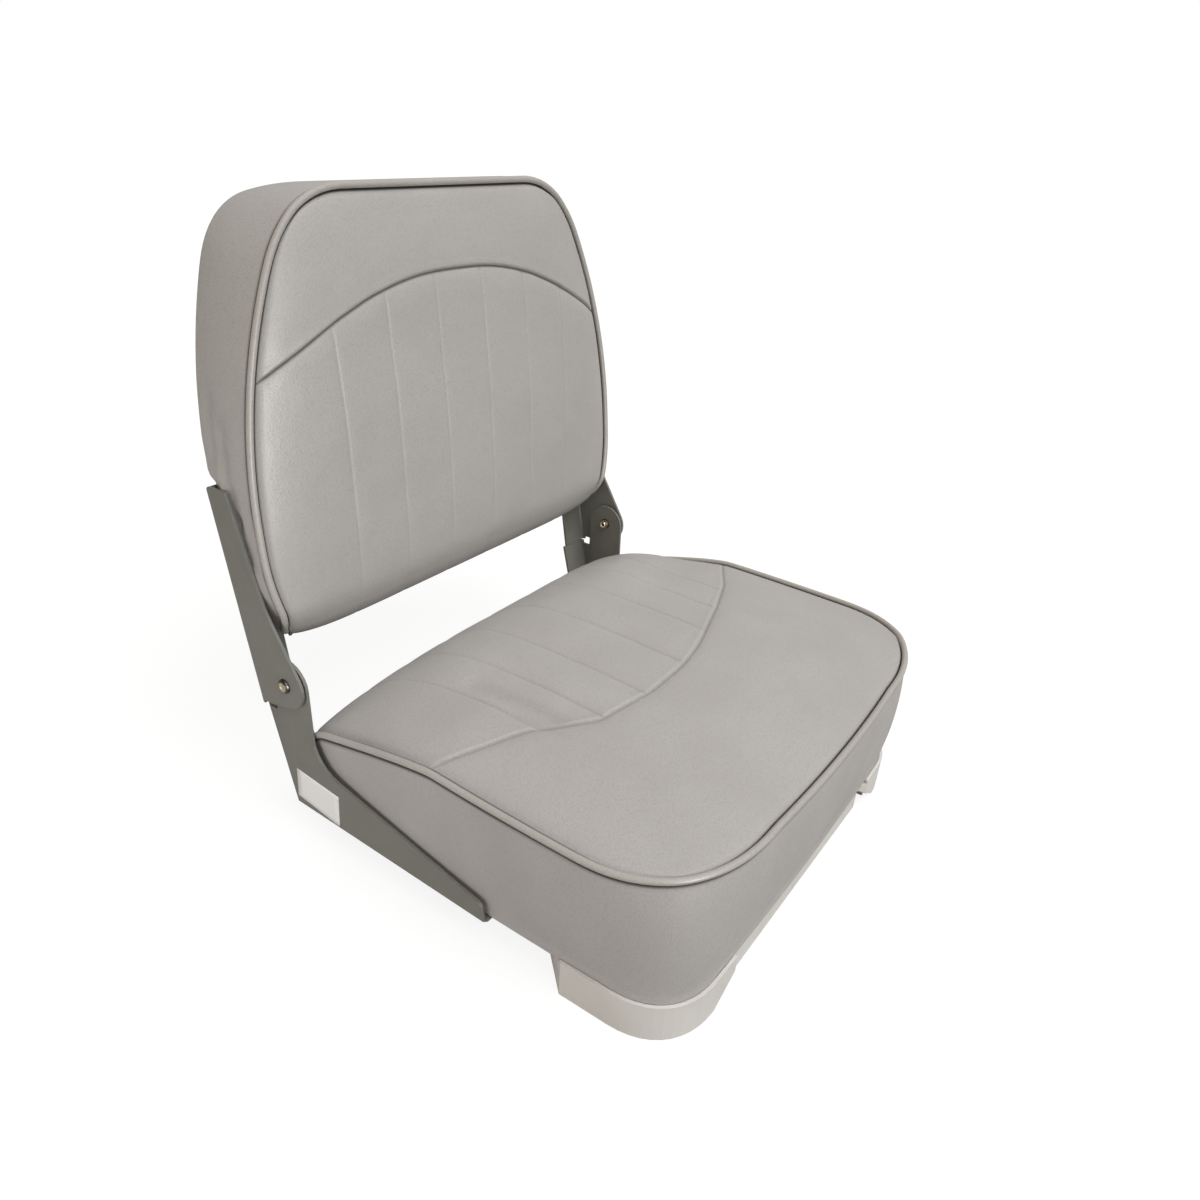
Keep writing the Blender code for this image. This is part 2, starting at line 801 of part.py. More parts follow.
def back_rear(depth, side, columns):
    """The backrest's rear grid, a depth in front of its rear panel."""
    outline = back_outline(back_rear_square)
    grid = outline.grid(back_rear_inset + back_rear_round + side, columns, bowed=False)
    x, w = grid[:, :, 0], grid[:, :, 1]
    return back_point(x, w, back_depth(w) - depth)


def back_rings(depth, side, rear):
    """The rings along the backrest's side, from its piped edge to its rear edge."""
    limit = arm_half - sheet - gap - side
    loop = back_outline().loop(side)
    rings = [back_point(loop[:, 0], loop[:, 1], np.full(len(loop), edge_notch + depth))]
    for share in ring_shares + (1,):
        swell = back_bulge * 4 * share * (1 - share) - back_rear_inset * share
        loop = back_outline(back_rear_square * share).loop(side - swell)
        gripped = loop[:, 1] < back_grip_w
        loop[gripped, 0] = np.clip(loop[gripped, 0], -limit, limit)
        behind = back_depth(loop[:, 1]) - back_rear_round * share - rear
        start = edge_notch + depth
        rings.append(back_point(loop[:, 0], loop[:, 1], start + share * (behind - start)))
    return rings


def back_cover():
    """The backrest's sewn vinyl, open along its bottom edge."""
    channels = channel_places(back_channel_shares)
    columns = fine_columns(channels)
    openings = range(1, len(coarse_columns) - 2)
    skin = Skin()
    front = skin.grid(back_front(0, 0, columns, channels))
    outer = [skin.ring(points) for points in back_rings(0, 0, 0)]
    skin.join_fine(front, columns, outer[0])
    outer.append(border(skin.grid(back_rear(0, 0, coarse_columns))))
    skin.walls(outer, openings)
    lining = skin.grid(back_front(quilt, vinyl, coarse_columns))
    inner = [skin.ring(points) for points in back_rings(quilt, vinyl, vinyl)]
    inner.append(border(skin.grid(back_rear(vinyl, vinyl, coarse_columns))))
    skin.join(border(lining), inner[0])
    skin.walls(inner, openings)
    skin.rim(outer, inner, openings)
    cover = finished("back_cover", skin.shape)
    return smoothed(combine(cover, arm_screw_drills(), "DIFFERENCE"))


def back_foam():
    """The foam between the backrest's cover and its frame."""
    rear = vinyl + gap + back_frame_thickness + gap
    side = vinyl + gap
    skin = Skin()
    front = skin.grid(back_front(quilt + gap, side, coarse_columns))
    rings = [border(front)]
    rings += [skin.ring(points) for points in back_rings(quilt + gap, side, vinyl)[:-1]]
    rings.append(border(skin.grid(back_rear(rear, side, coarse_columns))))
    skin.walls(rings)
    return smoothed(finished("back_foam", skin.shape))


def back_frame():
    """The moulded panel inside the backrest, which the arms are screwed to."""
    side = vinyl + gap
    skin = Skin()
    rear = skin.grid(back_rear(side, side, frame_columns))
    front = skin.grid(back_rear(side + back_frame_thickness, side, frame_columns))
    skin.join(border(rear), border(front))
    frame = finished("back_frame", skin.shape)
    return combine(frame, arm_screw_drills(), "DIFFERENCE")


def back_piping():
    """The cord sewn along the backrest's edge."""
    return piping("back_piping", back_front(0, 0, coarse_columns), back_rings(0, 0, 0))


# Brackets and arms


def bend(item, radius, on_edge):
    """Round the straight edges whose ends pass a test."""
    shape = bmesh.new()
    shape.from_mesh(item.data)
    edges = [edge for edge in shape.edges if all(on_edge(vert.co) for vert in edge.verts)]
    bmesh.ops.bevel(shape, geom=edges, offset=radius, segments=3, profile=1 / 2,
                    affect="EDGES")
    face_outward(shape)
    shape.to_mesh(item.data)
    shape.free()
    return item


def folded(name, outline, half, lines, cutters):
    """A sheet part: a flat web, with a flange bent inward along each given line."""
    block = sideways(name, outline, half - flange_width, half)
    forward = [Vector((-along.y, along.x)) for foot, along in lines]
    corners = [foot + ahead * sheet for (foot, along), ahead in zip(lines, forward)]
    along = lines[0][1]
    start = corners[0]
    if len(lines) == 2:
        across = lines[1][1]
        share = (corners[1] - start).cross(across) / along.cross(across)
        start = start + along * share
    else:
        across = -forward[0]
        start = start - along * back_height
    reach = [start, start + along * 2 * back_height]
    reach += [reach[1] - across * 2 * back_height, start - across * 2 * back_height]
    inside = half - sheet
    tool = sideways("inside", reach, half - flange_width - overrun, inside)

    def on_fold(place, level, setback):
        """Whether a point lies on a fold line, set back from the sheet's outside."""
        flat = Vector((place.y, place.z))
        near = [abs((flat - foot).dot(ahead) - setback) < match
                for (foot, _), ahead in zip(lines, forward)]
        return abs(place.x - level) < match and any(near)

    bend(tool, bend_radius - sheet, lambda place: on_fold(place, inside, sheet))
    combine(block, [tool] + cutters, "DIFFERENCE")
    return smoothed(bend(block, bend_radius, lambda place: on_fold(place, half, 0)))


def bracket_outline():
    """The lower bracket from the side: a long foot, a neck and an ear round the pivot."""
    notch_rear = stop_y - relief_setback
    notch_front = notch_rear - relief_width
    below = (notch_front, stop_z - relief_depth, 0)
    neck = (bracket_neck_y, bracket_neck_z, bracket_neck_radius)
    corners = [(bracket_foot_y, base_height, 0), (stop_y, stop_z, 0), (notch_rear, stop_z, 0),
               (notch_rear, stop_z - relief_depth, 0), below]
    corners += round_disc(below, (pivot_y, pivot_z), ear_radius, neck)
    corners += [neck, (bracket_nose_y, bracket_nose_z, bracket_nose_radius),
                (bracket_end_y, base_height, 0)]
    return rounded(corners)


def lower_bracket(name):
    """The right lower bracket, with its rear flange and the foot flange under the seat."""
    foot = Vector((bracket_foot_y, base_height))
    rear = (foot, (Vector((stop_y, stop_z)) - foot).normalized())
    bottom = (foot, Vector((1, 0)))
    low_x = bracket_half - flange_width - overrun
    relief = sideways("relief", rectangle(bracket_foot_y - corner_relief,
                                          bracket_foot_y + corner_relief,
                                          base_height - overrun, base_height + corner_relief),
                      low_x, bracket_half - bend_radius)
    inner_x = bracket_half - flange_width
    chamfer = upright("chamfer", [(inner_x - overrun, bracket_end_y - overrun),
                                  (inner_x + flange_chamfer + overrun, bracket_end_y - overrun),
                                  (inner_x - overrun, bracket_end_y + flange_chamfer + overrun)],
                      base_height - overrun, base_height + sheet + overrun)
    cutters = [relief, chamfer, pivot_drill()]
    cutters += [drill((x, y, 0), Z_AXIS, screw_radius + hole_clearance, base_height - overrun,
                      base_height + sheet + overrun)
                for x, y in bracket_screw_places() if x > 0]
    return folded(name, bracket_outline(), bracket_half, [rear, bottom], cutters)


def arm_outline():
    """The arm from the side: an ear round the pivot and a long upright."""
    foot, _ = arm_rear_line()
    notch_rear = stop_y - relief_setback
    notch_front = notch_rear - relief_width
    above = (notch_front, foot.y + relief_depth, 0)
    waist = (arm_waist_y, arm_waist_z, arm_waist_radius)
    corners = [(foot.x, foot.y, 0), (arm_top_y, arm_top_z, arm_corner_radius),
               (arm_top_y - arm_top_width, arm_top_z, arm_corner_radius), waist]
    corners += round_disc(waist, (pivot_y, pivot_z), ear_radius, above)
    corners += [above, (notch_rear, foot.y + relief_depth, 0), (notch_rear, foot.y, 0)]
    return rounded(corners)


def arm(name):
    """The right arm, with the rear flange that carries the backrest."""
    return folded(name, arm_outline(), arm_half, [arm_rear_line()],
                  [pivot_drill()] + arm_screw_drills(1))


# Rivets, washers, nuts and screws


def pivot_drill():
    """The cutter for the right pivot hole."""
    return drill((0, pivot_y, pivot_z), X_AXIS, rivet_radius + hole_clearance,
                 bracket_half - flange_width - overrun, arm_half + overrun, round_sides)


def pivot_rivet(name, side):
    """A rivet with a low head outside and a rolled, hollow tail inside."""
    head = arm_half + gap
    crown = head + rivet_head_height
    tail = bracket_half - sheet - gap
    end = tail - rivet_collar_height - rivet_tube_length
    profile = [(0, crown), (rivet_radius, crown), (rivet_head_radius, crown - rivet_head_height / 2),
               (rivet_head_radius, head), (rivet_radius, head), (rivet_radius, tail),
               (rivet_collar_radius, tail), (rivet_collar_radius, tail - rivet_collar_height),
               (rivet_radius, tail - rivet_collar_height), (rivet_radius, end),
               (rivet_bore_radius, end), (rivet_bore_radius, end + rivet_bore_depth),
               (0, end + rivet_bore_depth)]
    return turned(name, profile, round_sides, (0, pivot_y, pivot_z), X_AXIS * side)


def pivot_washer(name, side):
    """The thin washer between the bracket and the arm."""
    low = bracket_half + gap
    bore = rivet_radius + hole_clearance
    profile = [(bore, low), (washer_radius, low), (washer_radius, low + washer_thickness),
               (bore, low + washer_thickness)]
    return turned(name, profile, round_sides, (0, pivot_y, pivot_z), X_AXIS * side)


def mount_places():
    """The four mounting bolts."""
    reach = mount_spacing / 2
    return [(x, y) for x in (-reach, reach) for y in (-reach, reach)]


def mount_nut(name, place):
    """A flanged nut let into the top of the board."""
    low = board_high - nut_length
    step = board_high - nut_flange_thickness
    profile = [(nut_bore_radius, low), (nut_barrel_radius, low), (nut_barrel_radius, step),
               (nut_flange_radius, step), (nut_flange_radius, board_high),
               (nut_bore_radius, board_high)]
    return turned(name, profile, round_sides, (*place, 0), Z_AXIS)


def screw(name, origin, direction, length):
    """A pan-headed screw whose head sits behind a point."""
    crown = screw_head_height / 2
    profile = [(0, -screw_head_height), (screw_radius, -screw_head_height),
               (screw_head_radius, -crown), (screw_head_radius, 0), (screw_radius, 0),
               (screw_radius, length - screw_radius), (0, length)]
    return turned(name, profile, screw_sides, origin, direction)


def bracket_screw_places():
    """Screws up through the bracket feet, left side first."""
    middle = (bracket_screw_front + bracket_screw_rear) / 2
    return [(side * bracket_screw_x, y) for side in (-1, 1)
            for y in (bracket_screw_front, middle, bracket_screw_rear)]


def tray_screw_places():
    """Screws up through the tray's small bosses."""
    return [(x, y) for x in (-tray_screw_x, tray_screw_x) for y in (-tray_screw_y, tray_screw_y)]


def arm_screw_place(side, distance):
    """A point on the back of an arm's flange, and the direction into it."""
    foot, along = arm_rear_line()
    place = foot + along * distance
    return (side * arm_screw_x, place.x, place.y), Vector((0, -along.y, along.x))


def arm_screw_drills(only=0):
    """Cutters for the screws through the arms into the backrest's frame."""
    depth = sheet + gap + vinyl + gap + back_frame_thickness + overrun / 2
    return [drill(*arm_screw_place(side, distance), screw_radius + hole_clearance, -overrun,
                  depth, small_sides)
            for side in ((only,) if only else (-1, 1))
            for distance in arm_screw_distances]


# The moulded base


def inset_polygon(points, distance):
    """A closed outline moved inward, running anticlockwise."""
    moved = []
    for index, here in enumerate(points):
        before = (here - points[index - 1]).normalized()
        after = (points[(index + 1) % len(points)] - here).normalized()
        left = Vector((-before.y, before.x)) + Vector((-after.y, after.x))
        moved.append(here + left * (2 * distance / left.length_squared))
    return moved


def lip_curve(distance):
    """The right front corner outside the cushion's foot, from the lip's rear end round."""
    points = seat_foot_outline().inset(-distance)
    kept = points[(points[:, 1] > lip_start) & (points[:, 0] > arch_top_x)]
    return [Vector((x, -s)) for x, s in kept[::4]]


def tray_outline():
    """The base from above: narrow between the brackets, wide at the front corners."""
    side = bracket_half - flange_width - tray_side_ease
    outer = lip_curve(gap + lip_thickness)
    right = [Vector((side, -tray_flare_s))] + outer
    right.append(Vector((arch_top_x - lip_thickness, -tray_front)))
    rear = rounded([(side, 0, 0), (side, tray_rear, tray_corner_radius),
                    (-side, tray_rear, tray_corner_radius), (-side, 0, 0)])
    left = [Vector((-point.x, point.y)) for point in right]
    return rear[1:-1] + left + right[::-1]


def above_deck():
    """The cutter for all that is higher than the deck, except the two corner lips."""
    reach = seat_half + overrun
    inner = lip_curve(gap)
    right = [Vector((reach, -lip_start)), Vector((inner[0].x, -lip_start))] + inner
    right.append(Vector((arch_top_x, -reach)))
    left = [Vector((-point.x, point.y)) for point in right]
    outline = [Vector((reach, reach)), Vector((-reach, reach))] + left + right[::-1]
    return upright("above", outline, hem_low - gap, lip_height + overrun)


def lip_ends():
    """The cutter that rounds the upper rear corner of both lips."""
    centre = Vector((-lip_start - lip_end_round, lip_height - lip_end_round))
    turns = [math.pi / 2 * step / 3 for step in range(4)]
    arc = [centre + lip_end_round * Vector((math.cos(turn), math.sin(turn))) for turn in turns]
    corner = Vector((-lip_start + overrun, lip_height + overrun))
    outline = [Vector((corner.x, arc[0].y)), corner, Vector((arc[-1].x, corner.y))] + arc[::-1]
    return sideways("ends", outline, -seat_half - overrun, seat_half + overrun)


def base_tray():
    """The moulded base: a ribbed tray with a mounting platform and two corner lips."""
    outline = tray_outline()
    high = hem_low - gap
    tray = upright("base_tray", outline, 0, lip_height)
    hollow = upright("hollow", inset_polygon(outline, tray_wall), -overrun, high - tray_skin)
    half = rib_thickness / 2
    reach = seat_half + overrun
    count = math.floor((tray_front - tray_wall) / rib_spacing)
    lines = [k * rib_spacing for k in range(-count, count + 1)]
    ribs = [upright("rib", rectangle(line - half, line + half, -reach, reach),
                    -2 * overrun, high) for line in lines]
    ribs += [upright("rib", rectangle(-reach, reach, line - half, line + half),
                     -2 * overrun, high) for line in lines]
    platform = upright("platform", rectangle(-platform_half, platform_half, -platform_half,
                                             platform_half, platform_radius),
                       -2 * overrun, high)
    bosses = [drill((x, y, 0), Z_AXIS, screw_boss_radius, screw_boss_low, high)
              for x, y in tray_screw_places()]
    combine(hollow, ribs + [platform] + bosses, "DIFFERENCE")
    inner = platform_half - tray_wall
    well = upright("well", rectangle(-inner, inner, -inner, inner, platform_radius - tray_wall),
                   platform_floor, high + overrun)
    webs = [upright("web", rectangle(line - half, line + half, -reach, reach),
                    -overrun, high) for line in lines if abs(line) < inner]
    webs += [upright("web", rectangle(-reach, reach, line - half, line + half),
                     -overrun, high) for line in lines if abs(line) < inner]
    combine(well, webs, "DIFFERENCE")
    combine(tray, [above_deck(), lip_ends(), hollow, well], "DIFFERENCE")
    high_boss = board_low - gap
    posts = [drill((x, y, 0), Z_AXIS, mount_boss_radius, platform_floor / 2, high_boss, round_sides)
             for x, y in mount_places()]
    posts += [drill((x, y, 0), Z_AXIS, screw_boss_radius, high - tray_skin / 2, high_boss)
              for x, y in tray_screw_places()]
    combine(tray, posts, "UNION")
    arch = prism("arch", [(-arch_foot_x, -overrun), (arch_foot_x, -overrun), (arch_foot_x, 0),
                          (arch_top_x, arch_height), (-arch_top_x, arch_height),
                          (-arch_foot_x, 0)],
                 X_AXIS, Z_AXIS, tray_front, seat_front + overrun)
    holes = [drill((x, y, 0), Z_AXIS, mount_hole_radius, -overrun, high_boss + overrun)
             for x, y in mount_places()]
    holes += [drill((x, y, 0), Z_AXIS, screw_radius + hole_clearance, -overrun,
                    high_boss + overrun, small_sides) for x, y in tray_screw_places()]
    return smoothed(combine(tray, [arch] + holes, "DIFFERENCE"))


# Putting it together


def finish(items, finish_material):
    """Give pieces their material."""
    for item in items:
        item.data.materials.clear()
        item.data.materials.append(finish_material)


def hinge(items):
    """Carry the folding pieces on an empty whose X axis is the hinge's."""
    axis = bpy.data.objects.new("backrest_hinge", None)
    axis.location = (0, pivot_y, pivot_z)
    bpy.context.scene.collection.objects.link(axis)
    bpy.context.view_layer.update()
    for item in items:
        item.parent = axis
        item.matrix_parent_inverse = axis.matrix_world.inverted()


def build():
    """Make every piece, give it its finish and hang the backrest on its hinge."""
    for item in list(bpy.data.objects):
        bpy.data.objects.remove(item)

    covers = [seat_cover(), back_cover()]
    cords = [seat_piping(), back_piping()]
    foams = [seat_foam(), back_foam()]
    board = seat_board()
    frame = back_frame()
    tray = base_tray()
    brackets = [lower_bracket("right_lower_bracket")]
    brackets.append(mirrored(brackets[0], "left_lower_bracket"))
    arms = [arm("right_arm")]
    arms.append(mirrored(arms[0], "left_arm"))
    rivets = [pivot_rivet("right_pivot_rivet", 1), pivot_rivet("left_pivot_rivet", -1)]
    washers = [pivot_washer("right_pivot_washer", 1), pivot_washer("left_pivot_washer", -1)]
    nuts = [mount_nut(f"mount_nut_{number}", place)
            for number, place in enumerate(mount_places(), 1)]
    seat_screws = []
    for index, (x, y) in enumerate(bracket_screw_places()):
        side = ("left", "right")[index // 3]
        seat_screws.append(screw(f"bracket_screw_{side}_{index % 3 + 1}",
                                 (x, y, base_height - gap), Z_AXIS, bracket_screw_length))
    for number, (x, y) in enumerate(tray_screw_places(), 1):
        seat_screws.append(screw(f"tray_screw_{number}", (x, y, screw_boss_low - gap), Z_AXIS,
                                 tray_screw_length))
    arm_screws = []
    for side, sign in (("left", -1), ("right", 1)):
        for number, distance in enumerate(arm_screw_distances, 1):
            place, inward = arm_screw_place(sign, distance)
            arm_screws.append(screw(f"arm_screw_{side}_{number}", Vector(place) - inward * gap,
                                    inward, arm_screw_length))

    finish(covers, material("grey_vinyl", (0.43, 0.41, 0.38), 0.45, 0.0))
    finish(cords, material("piping_vinyl", (0.45, 0.43, 0.40), 0.45, 0.0))
    finish(foams, material("cream_foam", (0.80, 0.72, 0.50), 0.95, 0.0))
    finish([board], material("plywood", (0.50, 0.33, 0.18), 0.75, 0.0))
    finish([frame], material("black_plastic", (0.03, 0.03, 0.03), 0.5, 0.0))
    finish([tray], material("pale_plastic", (0.58, 0.57, 0.54), 0.4, 0.0))
    finish(brackets + arms, material("grey_paint", (0.16, 0.165, 0.145), 0.45, 0.0))
    finish(rivets, material("rivet_steel", (0.55, 0.55, 0.53), 0.35, 1.0))
    finish(washers + nuts + seat_screws + arm_screws,
           material("zinc_steel", (0.6, 0.6, 0.58), 0.4, 1.0))
    hinge([covers[1], cords[1], foams[1], frame] + arms + arm_screws)


build()
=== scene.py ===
# %% [markdown]
# A folding boat seat, dressed for its picture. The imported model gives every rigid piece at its
# real size and place. This lesson adds what a solid can't show: sewn vinyl over foam, powder coat
# on bent steel, moulded plastic, and plain studio light. All lengths are in metres, +Z is up, and
# the seat faces -Y.

# %% Load the frame
import math

import bmesh
import bpy
import numpy as np
from mathutils import Matrix, Vector, noise


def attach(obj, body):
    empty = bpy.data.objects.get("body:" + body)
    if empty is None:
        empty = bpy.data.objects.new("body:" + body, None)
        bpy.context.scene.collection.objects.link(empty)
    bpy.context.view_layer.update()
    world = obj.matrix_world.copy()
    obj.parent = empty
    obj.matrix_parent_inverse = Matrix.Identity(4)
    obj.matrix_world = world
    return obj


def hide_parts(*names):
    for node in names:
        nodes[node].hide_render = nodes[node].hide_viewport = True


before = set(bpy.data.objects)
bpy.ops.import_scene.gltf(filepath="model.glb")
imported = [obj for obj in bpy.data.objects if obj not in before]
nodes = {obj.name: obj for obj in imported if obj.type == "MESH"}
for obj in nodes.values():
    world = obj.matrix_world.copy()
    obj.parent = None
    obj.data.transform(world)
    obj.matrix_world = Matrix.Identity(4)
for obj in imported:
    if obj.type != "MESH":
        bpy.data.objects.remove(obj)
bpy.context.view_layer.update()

# %% [markdown]
# The camera comes first, because every later choice is judged through it. It stands to the seat's
# front left, a little above it, as a person would to look at a seat on the floor. Its place, its
# aim and its lens were worked out from the corners of the brackets, the pivots and the seams.

# %% Camera
camera_place = Vector((-0.5442, -0.3369, 0.5375))
camera_turn = math.radians(-55.80)
camera_drop = math.radians(28.31)
camera_roll = math.radians(-3.59)
camera_lens_mm = 27.36
camera_sensor_mm = 36.0


def linked(name, data):
    """An object in the scene, from its name and its data."""
    item = bpy.data.objects.new(name, data)
    bpy.context.scene.collection.objects.link(item)
    return item


def camera_matrix():
    """The camera's place and axes, from its turn, drop and roll."""
    ahead = Vector((-math.sin(camera_turn) * math.cos(camera_drop),
                    math.cos(camera_turn) * math.cos(camera_drop), -math.sin(camera_drop)))
    level = Vector((math.cos(camera_turn), math.sin(camera_turn), 0))
    below = ahead.cross(level)
    right = math.cos(camera_roll) * level + math.sin(camera_roll) * below
    down = -math.sin(camera_roll) * level + math.cos(camera_roll) * below
    matrix = Matrix((right, -down, -ahead)).transposed().to_4x4()
    matrix.translation = camera_place
    return matrix


camera = linked("camera", bpy.data.cameras.new("camera"))
camera.matrix_world = camera_matrix()
camera.data.lens = camera_lens_mm
camera.data.sensor_width = camera_sensor_mm
camera.data.clip_start = 0.01
bpy.context.scene.camera = camera
print("camera", [round(c, 3) for c in camera.matrix_world.translation])

# %% [markdown]
# The light is a plain studio. One very soft main light stands high in front. A small lamp fills the
# low left side. A tall one adds only sheen: it shows in reflections and lights nothing matt.

# %% Light
main_strength, main_spread = 2.02, math.radians(45)
main_from = Vector((-0.05, -0.53, 0.80))


def lamp(name, kind, power, place, target=(0, 0, 0)):
    """A lamp that shines from a place to a target."""
    item = linked(name, bpy.data.lights.new(name, kind))
    item.data.energy = power
    item.rotation_euler = (Vector(place) - Vector(target)).to_track_quat("Z", "Y").to_euler()
    return item


def softbox(name, sizes, power, place, target):
    """A rectangular lamp at a place, facing a target."""
    item = lamp(name, "AREA", power, place, target)
    item.data.shape = "RECTANGLE"
    item.data.size, item.data.size_y = sizes
    item.location = place
    item.visible_camera = False
    return item


lamp("main_light", "SUN", main_strength, main_from).data.angle = main_spread
softbox("low_fill", (0.4, 0.2), 0.95, (-0.72, 0.12, 0.05), (-0.20, 0.06, 0.08))
sheen_light = softbox("sheen_light", (0.35, 0.9), 50, (-0.58, -1.33, 0.22), (-0.19, 0.17, 0.36))
sheen_light.visible_diffuse = False

# %% [markdown]
# The surround is pale, brightest overhead and dimmer and warmer on the seat's left. The camera
# alone sees it as white. The floor looks white to the camera too, but for a faint shadow, and it
# throws only a little light back up, as a grey floor would.

# %% Surround and floor
surround_high, surround_low, surround_top = 0.72, 0.46, 0.9
surround_left, surround_right = "#A18C73", "#E6E4E2"
surround_left_end, surround_right_end = -0.8, 0.2
floor_half = 6.0
floor_bounce, floor_shade, floor_glow = 0.54, 0.18, 0.87


def linear(hex_colour):
    """An sRGB hex colour as linear red, green and blue, with a full alpha."""
    channels = [int(hex_colour[k:k + 2], 16) / 255 for k in (1, 3, 5)]
    return (*(c / 12.92 if c <= 0.04045 else ((c + 0.055) / 1.055) ** 2.4 for c in channels), 1)


def add_node(tree, kind, inputs=None, output=0, **settings):
    """Add a node with its settings and its inputs, values or links, and give one output."""
    node = tree.nodes.new(kind)
    for name, value in settings.items():
        setattr(node, name, value)
    for name, value in (inputs or {}).items():
        if isinstance(value, bpy.types.NodeSocket):
            tree.links.new(value, node.inputs[name])
        else:
            node.inputs[name].default_value = value
    return node.outputs[output] if len(node.outputs) else node


def shows_white(tree):
    """1 for rays from the camera or through a clear body, and 0 for the rest."""
    rays = add_node(tree, "ShaderNodeLightPath").node.outputs
    return add_node(tree, "ShaderNodeMath",
                    {0: rays["Is Camera Ray"], 1: rays["Is Transmission Ray"]},
                    operation="MAXIMUM")


def empty_tree(owner):
    """The node tree of a world or a material, with nothing in it."""
    owner.use_nodes = True
    owner.node_tree.nodes.clear()
    return owner.node_tree


world = bpy.data.worlds.new("studio")
bpy.context.scene.world = world
tree = empty_tree(world)
direction = add_node(tree, "ShaderNodeTexCoord", output="Generated")
apart = add_node(tree, "ShaderNodeSeparateXYZ", {"Vector": direction}).node.outputs
height = add_node(tree, "ShaderNodeMapRange", {"Value": apart["Z"], "From Max": surround_top,
                                               "To Min": surround_low, "To Max": surround_high})
side = add_node(tree, "ShaderNodeMapRange", {"Value": apart["X"], "From Min": surround_left_end,
                                             "From Max": surround_right_end})
tint = add_node(tree, "ShaderNodeMix", {"Factor": side, 6: linear(surround_left),
                                        7: linear(surround_right)}, 2, data_type="RGBA")
lit = add_node(tree, "ShaderNodeBackground", {"Color": tint, "Strength": height})
shown = add_node(tree, "ShaderNodeBackground", {"Color": (1, 1, 1, 1), "Strength": 1.0})
both = add_node(tree, "ShaderNodeMixShader", {0: shows_white(tree), 1: lit, 2: shown})
add_node(tree, "ShaderNodeOutputWorld", {"Surface": both})

floor_mesh = bpy.data.meshes.new("floor")
floor_mesh.from_pydata([(x * floor_half, y * floor_half, 0)
                        for x, y in ((-1, -1), (1, -1), (1, 1), (-1, 1))], [], [(0, 1, 2, 3)])
floor = linked("floor", floor_mesh)
floor_paint = bpy.data.materials.new("white_floor")
tree = empty_tree(floor_paint)
grey = add_node(tree, "ShaderNodeMix", {"Factor": shows_white(tree), "A": floor_bounce,
                                        "B": floor_shade}, data_type="FLOAT")
matt = add_node(tree, "ShaderNodeBsdfDiffuse", {"Color": grey})
glow = add_node(tree, "ShaderNodeMath", {0: shows_white(tree), 1: floor_glow},
                operation="MULTIPLY")
glow = add_node(tree, "ShaderNodeEmission", {"Strength": glow})
whole = add_node(tree, "ShaderNodeAddShader", {0: matt, 1: glow})
add_node(tree, "ShaderNodeOutputMaterial", {"Surface": whole})
floor_mesh.materials.append(floor_paint)
bpy.context.scene.view_settings.view_transform = "Standard"
print("surround", world.name, "floor", floor.name)

# %% [markdown]
# Each cushion is drawn from above by half an outline, mirrored about x = 0. A panel is a sheet of
# rows and columns stretched between the outline's corners: its columns run along the sewn channels
# and one of its rows follows the seam across. A cutter draws the paper pattern for such a cover in
# the same way, so that no line of stitching crosses a panel at random.

# %% Sheets of rows and columns
gap = 0.0003
sheet = 0.0024
vinyl = 0.0012
hem_low = 0.0277
foam_low = 0.0385
bracket_half = 0.205
arm_half = 0.2088
edge_notch = 0.0030
quilt = 0.0042
panel_half = 0.200
groove_width = 0.0009
panel_power = 8
corner_power = 2.4
crown_power = 3
curve_steps = 96


